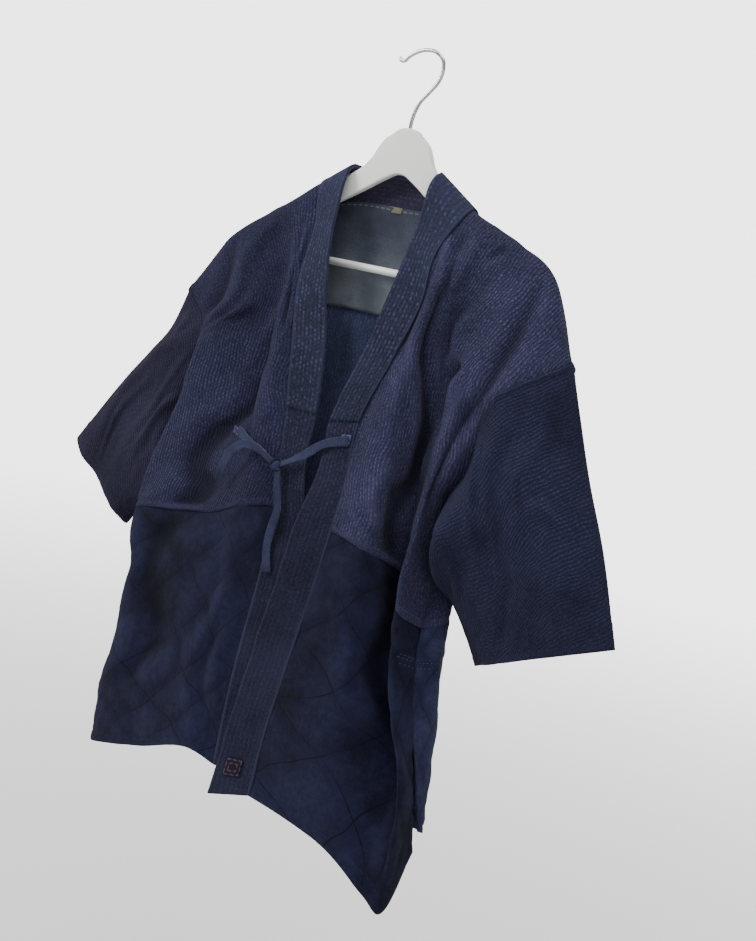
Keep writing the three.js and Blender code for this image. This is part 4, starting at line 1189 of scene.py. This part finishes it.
def side_tack(name, face, material, turned=False):
    """Three short rows of stitches across the side strip of a skirt panel, each row at its own height, on
    the panel's outer face"""
    rows, columns = face.shape[:2]
    starts, ends = [], []
    for down, first in TACK_ROWS:
        row = round((down - WAIST) / (HEM - WAIST) * (rows - 1))
        row = rows - 1 - row if turned else row
        for inward in range(first, TACK_COLUMNS, 2):
            starts.append(face[row, columns - 1 - inward])
            ends.append(face[row, columns - 2 - inward])
    return threads(name, np.array(starts), np.array(ends), TACK_THREAD / 2, material)


# Ties, knot and hanger


def tie(name, material):
    """A flat tape along its route, thicker at both folded edges than between them. It narrows and twists
    where it is pulled to the knot, and a free end turns a little and flares."""
    line = smooth_line(TIES[name], TIE_POINTS)
    f = np.linspace(0, 1, TIE_POINTS)
    pulled = name.endswith("held")
    knot_near = smooth_step(0.45, 1, f) if pulled else smooth_step(0.4, 0, f)
    wide = 0.92 - 0.3 * knot_near + 0.05 * np.sin(13 * f + len(name))
    turn = 0.75 * np.sin(5.2 * f) * knot_near + (0 if pulled else 0.35 * f**2)
    shape = oval(TIE_WIDTH, TIE_WALL, sides=24)
    fold = 0.62 + 0.38 * np.abs(shape[:, :1] / (TIE_WIDTH / 2)) ** 2
    girth = np.stack([wide, 1 + 0.5 * knot_near], 1)
    shape = np.concatenate([shape[:, :1], shape[:, 1:] * fold], 1)[None] * girth[:, None]
    return swept(f"{name}_tape", line, shape, material, turn=turn), line


def knot(material):
    """A half hitch: a thick tape wound once round the crossing, over a small core"""
    angle = np.linspace(0, 2 * math.pi, 72, endpoint=False)
    x, y, z = np.array(KNOT_SIZE) / 2 - KNOT_INSET
    turns = np.stack([
        KNOT_AT[0] + x * np.cos(angle),
        KNOT_AT[1] + y * np.sin(angle + 0.5),
        KNOT_AT[2] + z * np.sin(angle),
    ], 1)
    shape = oval(*KNOT_TAPE, sides=18)
    tangent = unit(np.roll(turns, -1, 0) - np.roll(turns, 1, 0))
    away = unit(turns - np.array(KNOT_AT, float))
    side = unit(np.cross(tangent, away))
    up = np.cross(side, tangent)
    rings = turns[:, None] + side[:, None] * shape[None, :, :1] * 0.5
    rings = rings + up[:, None] * shape[None, :, 1:] * 0.5
    count, sides = rings.shape[:2]
    i, j = np.meshgrid(np.arange(count), np.arange(sides), indexing="ij")
    across, along = np.stack([j, j + 1, j + 1, j], -1) * 0.001, np.stack([i, i, i + 1, i + 1], -1) * 0.0006
    maps = {"cloth": np.stack([across, along], -1).reshape(-1, 2)}
    faces = tube_faces(count, sides, closed=True)
    wound = put_mesh("tie_knot_tape", rings.reshape(-1, 3), faces, maps, material)
    f, g = np.linspace(0.02, math.pi - 0.02, 16), np.linspace(0, 2 * math.pi, 24, endpoint=False)
    polar, turn = np.meshgrid(f, g, indexing="ij")
    ball = np.stack([np.sin(polar) * np.cos(turn), np.sin(polar) * np.sin(turn), np.cos(polar)], -1)
    ball = np.array(KNOT_AT) + ball * np.array(KNOT_SIZE) / 2 * KNOT_CORE
    core_maps = {"cloth": np.stack(np.meshgrid(np.arange(16), np.arange(25), indexing="ij"), -1) * 0.001}
    core = wall("tie_knot_core", ball, 0.8, core_maps, material, closed=True)
    return wound, core


def hanger_plate(material):
    """The plate's smooth outline, set in by a quarter round at both faces and filled flat"""
    half = np.array(PLATE_TOP + PLATE_TIP + PLATE_UNDER, float)
    outline = np.vstack([half, half[::-1] * (-1, 1)])
    loop = smooth_line(outline, 420, loop=True)
    tangent = unit(np.roll(loop, -1, 0) - np.roll(loop, 1, 0))
    inward = np.stack([tangent[:, 1], -tangent[:, 0]], 1)
    angle = np.linspace(0, math.pi / 2, 5)
    inset = np.concatenate([PLATE_ROUND * (1 - np.cos(angle))[::-1], PLATE_ROUND * (1 - np.cos(angle))])
    flat = PLATE_WALL / 2 - PLATE_ROUND
    depth = np.concatenate([-flat - PLATE_ROUND * np.sin(angle)[::-1], flat + PLATE_ROUND * np.sin(angle)])
    rings = loop[None] + inward[None] * inset[:, None, None]
    vertices = np.stack([rings[..., 0], np.broadcast_to(depth[:, None], rings.shape[:2]), rings[..., 1]], -1)
    count, sides = rings.shape[:2]
    faces = turned_faces(count, sides)
    for ring in (0, count - 1):
        for triangle in tessellate_polygon([[(x, z, 0.0) for x, z in rings[ring]]]):
            p, q, r = (rings[ring][k] for k in triangle)
            leftward = (q[0] - p[0]) * (r[1] - p[1]) - (q[1] - p[1]) * (r[0] - p[0]) > 0
            turned = list(triangle) if leftward == (ring == 0) else list(triangle)[::-1]
            faces.append([ring * sides + k for k in turned])
    pairs = np.zeros((sum(len(face) for face in faces), 2))
    piece = put_mesh("hanger_plate_moulding", vertices.reshape(-1, 3), faces, {"cloth": pairs}, material)
    piece.data.set_sharp_from_angle(angle=math.radians(40))
    return piece


def trouser_bar(material):
    """A round bar with a small round at both ends"""
    end = np.array([(0, 0.55), (0.5, 0.85), (1.5, 1.0)])
    x = np.concatenate([-BAR_HALF + end[:, 0], [0], BAR_HALF - end[::-1, 0]])
    girth = np.concatenate([end[:, 1], [1], end[::-1, 1]])
    line = np.stack([x, 0 * x, BAR_Z + 0 * x], 1)
    shape = oval(2 * BAR_RADIUS, 2 * BAR_RADIUS, sides=36, power=1)[None] * girth[:, None, None]
    return swept("trouser_bar_moulding", line, shape, material)


def hanger_hook(material):
    """Round wire along the hook's line, with a rounded tip"""
    line = smooth_line([(x, 0, z) for x, z in HOOK_LINE], HOOK_POINTS)
    girth = np.ones(HOOK_POINTS)
    girth[-4:] = (0.96, 0.85, 0.65, 0.35)
    shape = oval(2 * WIRE_RADIUS, 2 * WIRE_RADIUS, sides=18, power=1)[None] * girth[:, None, None]
    return swept("hanger_hook_wire", line, shape, material)


def neck_label(material):
    """A folded label: a small flat strip with soft edges, bowed a little"""
    f, g = np.meshgrid(np.linspace(0, 1, 10), np.linspace(0, 1, 20), indexing="ij")
    x = LABEL_AT[0] + (g - 0.5) * LABEL_WIDE
    z = LABEL_AT[2] + (f - 0.5) * LABEL_TALL
    y = LABEL_AT[1] - 0.4 * np.sin(math.pi * g) + 0.3 * np.sin(7 * g)
    edge = np.minimum(np.minimum(f, 1 - f) * LABEL_TALL, np.minimum(g, 1 - g) * LABEL_WIDE)
    maps = {"cloth": np.stack([x, z], -1) * MM, "edge": np.stack([edge, x], -1) * MM}
    return wall("neck_label_cloth", np.stack([x, y, z], -1), LABEL_WALL, maps, material)


def dress(piece, node):
    """The piece stands for the node, whose CAD part is hidden; the piece itself is not used"""
    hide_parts(node)


# Light, floor and camera


def set_camera():
    camera = bpy.data.objects.new("camera", bpy.data.cameras.new("camera"))
    bpy.context.scene.collection.objects.link(camera)
    camera.data.sensor_width = SENSOR
    camera.data.lens = SENSOR * FOCAL_PIXELS / PICTURE_HIGH
    camera.data.clip_end = 100
    turn = Matrix.Rotation(math.radians(CAMERA_AZIMUTH), 4, "Z")
    turn = turn @ Matrix.Rotation(math.radians(90 - CAMERA_DOWN), 4, "X")
    turn = turn @ Matrix.Rotation(math.radians(CAMERA_ROLL), 4, "Z")
    camera.matrix_world = Matrix.Translation(CAMERA_AT) @ turn
    bpy.context.scene.camera = camera


def set_light():
    """Soft light from the left front and from above, over weak even light. The backdrop looks paler than
    the light that it gives."""
    world = bpy.data.worlds.new("studio")
    world.use_nodes = True
    tree = world.node_tree
    background = next(n for n in tree.nodes if n.type == "BACKGROUND")
    background.inputs["Color"].default_value = (1, 1, 1, 1)
    seen = tree.nodes.new("ShaderNodeLightPath")
    strength = tree.nodes.new("ShaderNodeMapRange")
    strength.inputs["To Min"].default_value = WORLD_LIGHT
    strength.inputs["To Max"].default_value = BACKDROP
    tree.links.new(seen.outputs["Is Camera Ray"], strength.inputs["Value"])
    tree.links.new(strength.outputs["Result"], background.inputs["Strength"])
    bpy.context.scene.world = world
    for name, (place, size, power) in LAMPS.items():
        lamp = bpy.data.objects.new(name, bpy.data.lights.new(name, "AREA"))
        lamp.data.size = size
        lamp.data.energy = power
        bpy.context.scene.collection.objects.link(lamp)
        x, y, z = np.array(place) - LAMPS_AIM
        turn = Matrix.Rotation(math.atan2(x, -y), 4, "Z")
        tilt = Matrix.Rotation(math.pi / 2 - math.atan2(z, math.hypot(x, y)), 4, "X")
        lamp.matrix_world = Matrix.Translation(place) @ turn @ tilt


def set_floor():
    """A wide round floor under the hanging jacket, pale, fading into the surroundings at its rim"""
    radius = np.linspace(0, FLOOR_RADIUS, 24)[1:]
    angle = np.linspace(0, 2 * math.pi, 64, endpoint=False)
    r, t = np.meshgrid(radius, angle, indexing="ij")
    vertices = np.stack([r * np.cos(t), r * np.sin(t), np.full_like(r, FLOOR_LEVEL)], -1).reshape(-1, 3)
    faces = turned_faces(len(radius), len(angle)) + [list(range(len(angle)))]
    mesh = bpy.data.meshes.new("floor")
    mesh.from_pydata(vertices, [], faces)
    finish = Finish("floor_paint", 0.8, specular=0.2)
    finish.shader.inputs["Base Color"].default_value = FLOOR_PAINT
    away = finish.node("ShaderNodeVectorMath", {0: finish.own_place()}, out=1, operation="LENGTH")
    clear = finish.node("ShaderNodeBsdfTransparent", {})
    painted = Value(finish, finish.shader.outputs[0])
    blend = finish.node("ShaderNodeMixShader", {0: away.ramp(*FLOOR_FADES), 1: painted, 2: clear})
    output = next(n for n in finish.tree.nodes if n.type == "OUTPUT_MATERIAL")
    finish.tree.links.new(blend.socket, output.inputs[0])
    mesh.materials.append(finish.material)
    floor = bpy.data.objects.new("floor", mesh)
    bpy.context.scene.collection.objects.link(floor)


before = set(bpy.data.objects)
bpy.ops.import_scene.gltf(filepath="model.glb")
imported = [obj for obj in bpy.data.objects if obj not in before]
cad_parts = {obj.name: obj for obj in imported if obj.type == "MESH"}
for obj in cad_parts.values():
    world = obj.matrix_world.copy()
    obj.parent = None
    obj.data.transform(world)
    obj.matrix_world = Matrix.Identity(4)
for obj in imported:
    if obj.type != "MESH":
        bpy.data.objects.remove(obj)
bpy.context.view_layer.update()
set_camera()

# The right half's copy is darker than the left's: painted shade
upper = {side: rice_stitch(f"upper_cotton_{side}") for side in SIDES}
# The left sleeve's copy is painted darker than the right's: painted shade
sleeve_cotton = {side: rice_stitch(f"sleeve_cotton_{side}") for side in SIDES}
skirt = quilted_cotton("skirt_cotton")
skirt_side = quilted_cotton("skirt_cotton_side")
band_cotton = stitched_band("band_cotton", 0.75)
over_cotton = stitched_band("over_collar_cotton", 0.85)
# Inside faces, painted paler: painted light
upper_inside = rice_stitch("upper_cotton_inside")
band_inside = stitched_band("band_inside_cotton", 0.6)
lining_cotton = plain_weave("lining_cotton", LINING_ROWS, faded=LINING_FADES)
tie_cotton = plain_weave("tie_cotton", tape_edge_highlight=True)
patch_plain = plain_weave("tie_patch_cotton", PATCH_ROWS[:1])
label_cotton = plain_weave("label_cloth")
patch_cotton = plain_weave("patch_cloth", PATCH_ROWS)
tack_cotton = plain_weave("tack_thread")
plastic = moulded_plastic("hanger_plastic")
chrome = plated_wire("chrome_wire")

# Ties first
tie_pieces = {}
for tie_name in TIES:
    tie_pieces[tie_name] = tie(tie_name, tie_cotton)
    dress(tie_pieces[tie_name][0], tie_name)
knot_pieces = knot(tie_cotton)
for piece in knot_pieces:
    dress(piece, "tie_knot")
for tie_name, (piece, line) in tie_pieces.items():
    (line[0] * MM).tolist()
    (line * MM).tolist()
    list(knot_pieces) if tie_name == "tie_left_held" else []

for side_name in SIDES:
    dress(body_half(side_name, upper[side_name], upper_inside), f"body_{side_name}")
    for where in ("front", "back"):
        behind = where == "back"
        # The back left panel takes the paler copy of the skirt cotton: painted light
        cotton = skirt_side if behind and side_name == "left" else skirt
        panel, panel_face = skirt_panel(side_name, behind, cotton)
        dress(panel, f"skirt_{where}_{side_name}")
        tack = side_tack(f"side_tack_{where}_{side_name}", panel_face, tack_cotton, turned=not behind)
    dress(sleeve(side_name, sleeve_cotton[side_name]), f"sleeve_{side_name}")
band_piece, over_piece = collar_band(band_cotton, over_cotton, band_inside)
dress(band_piece, "collar_band")
dress(over_piece, "over_collar")
dress(yoke_lining(lining_cotton), "yoke_lining")

for node, (rise, sides) in PATCHES.items():
    is_tie = node.startswith("tie")
    cotton, slot_name = (patch_plain, "tie_cotton") if is_tie else (patch_cotton, "patch_cloth")
    corners = [[patch_corner(node, across, along) for along in ends] for across, *ends in sides]
    dress(patch(f"{node}_cloth", corners, cotton, rise), node)
dress(neck_label(label_cotton), "neck_label")

dress(hanger_plate(plastic), "hanger_plate")
dress(trouser_bar(plastic), "trouser_bar")
dress(hanger_hook(chrome), "hanger_hook")

set_floor()
set_light()
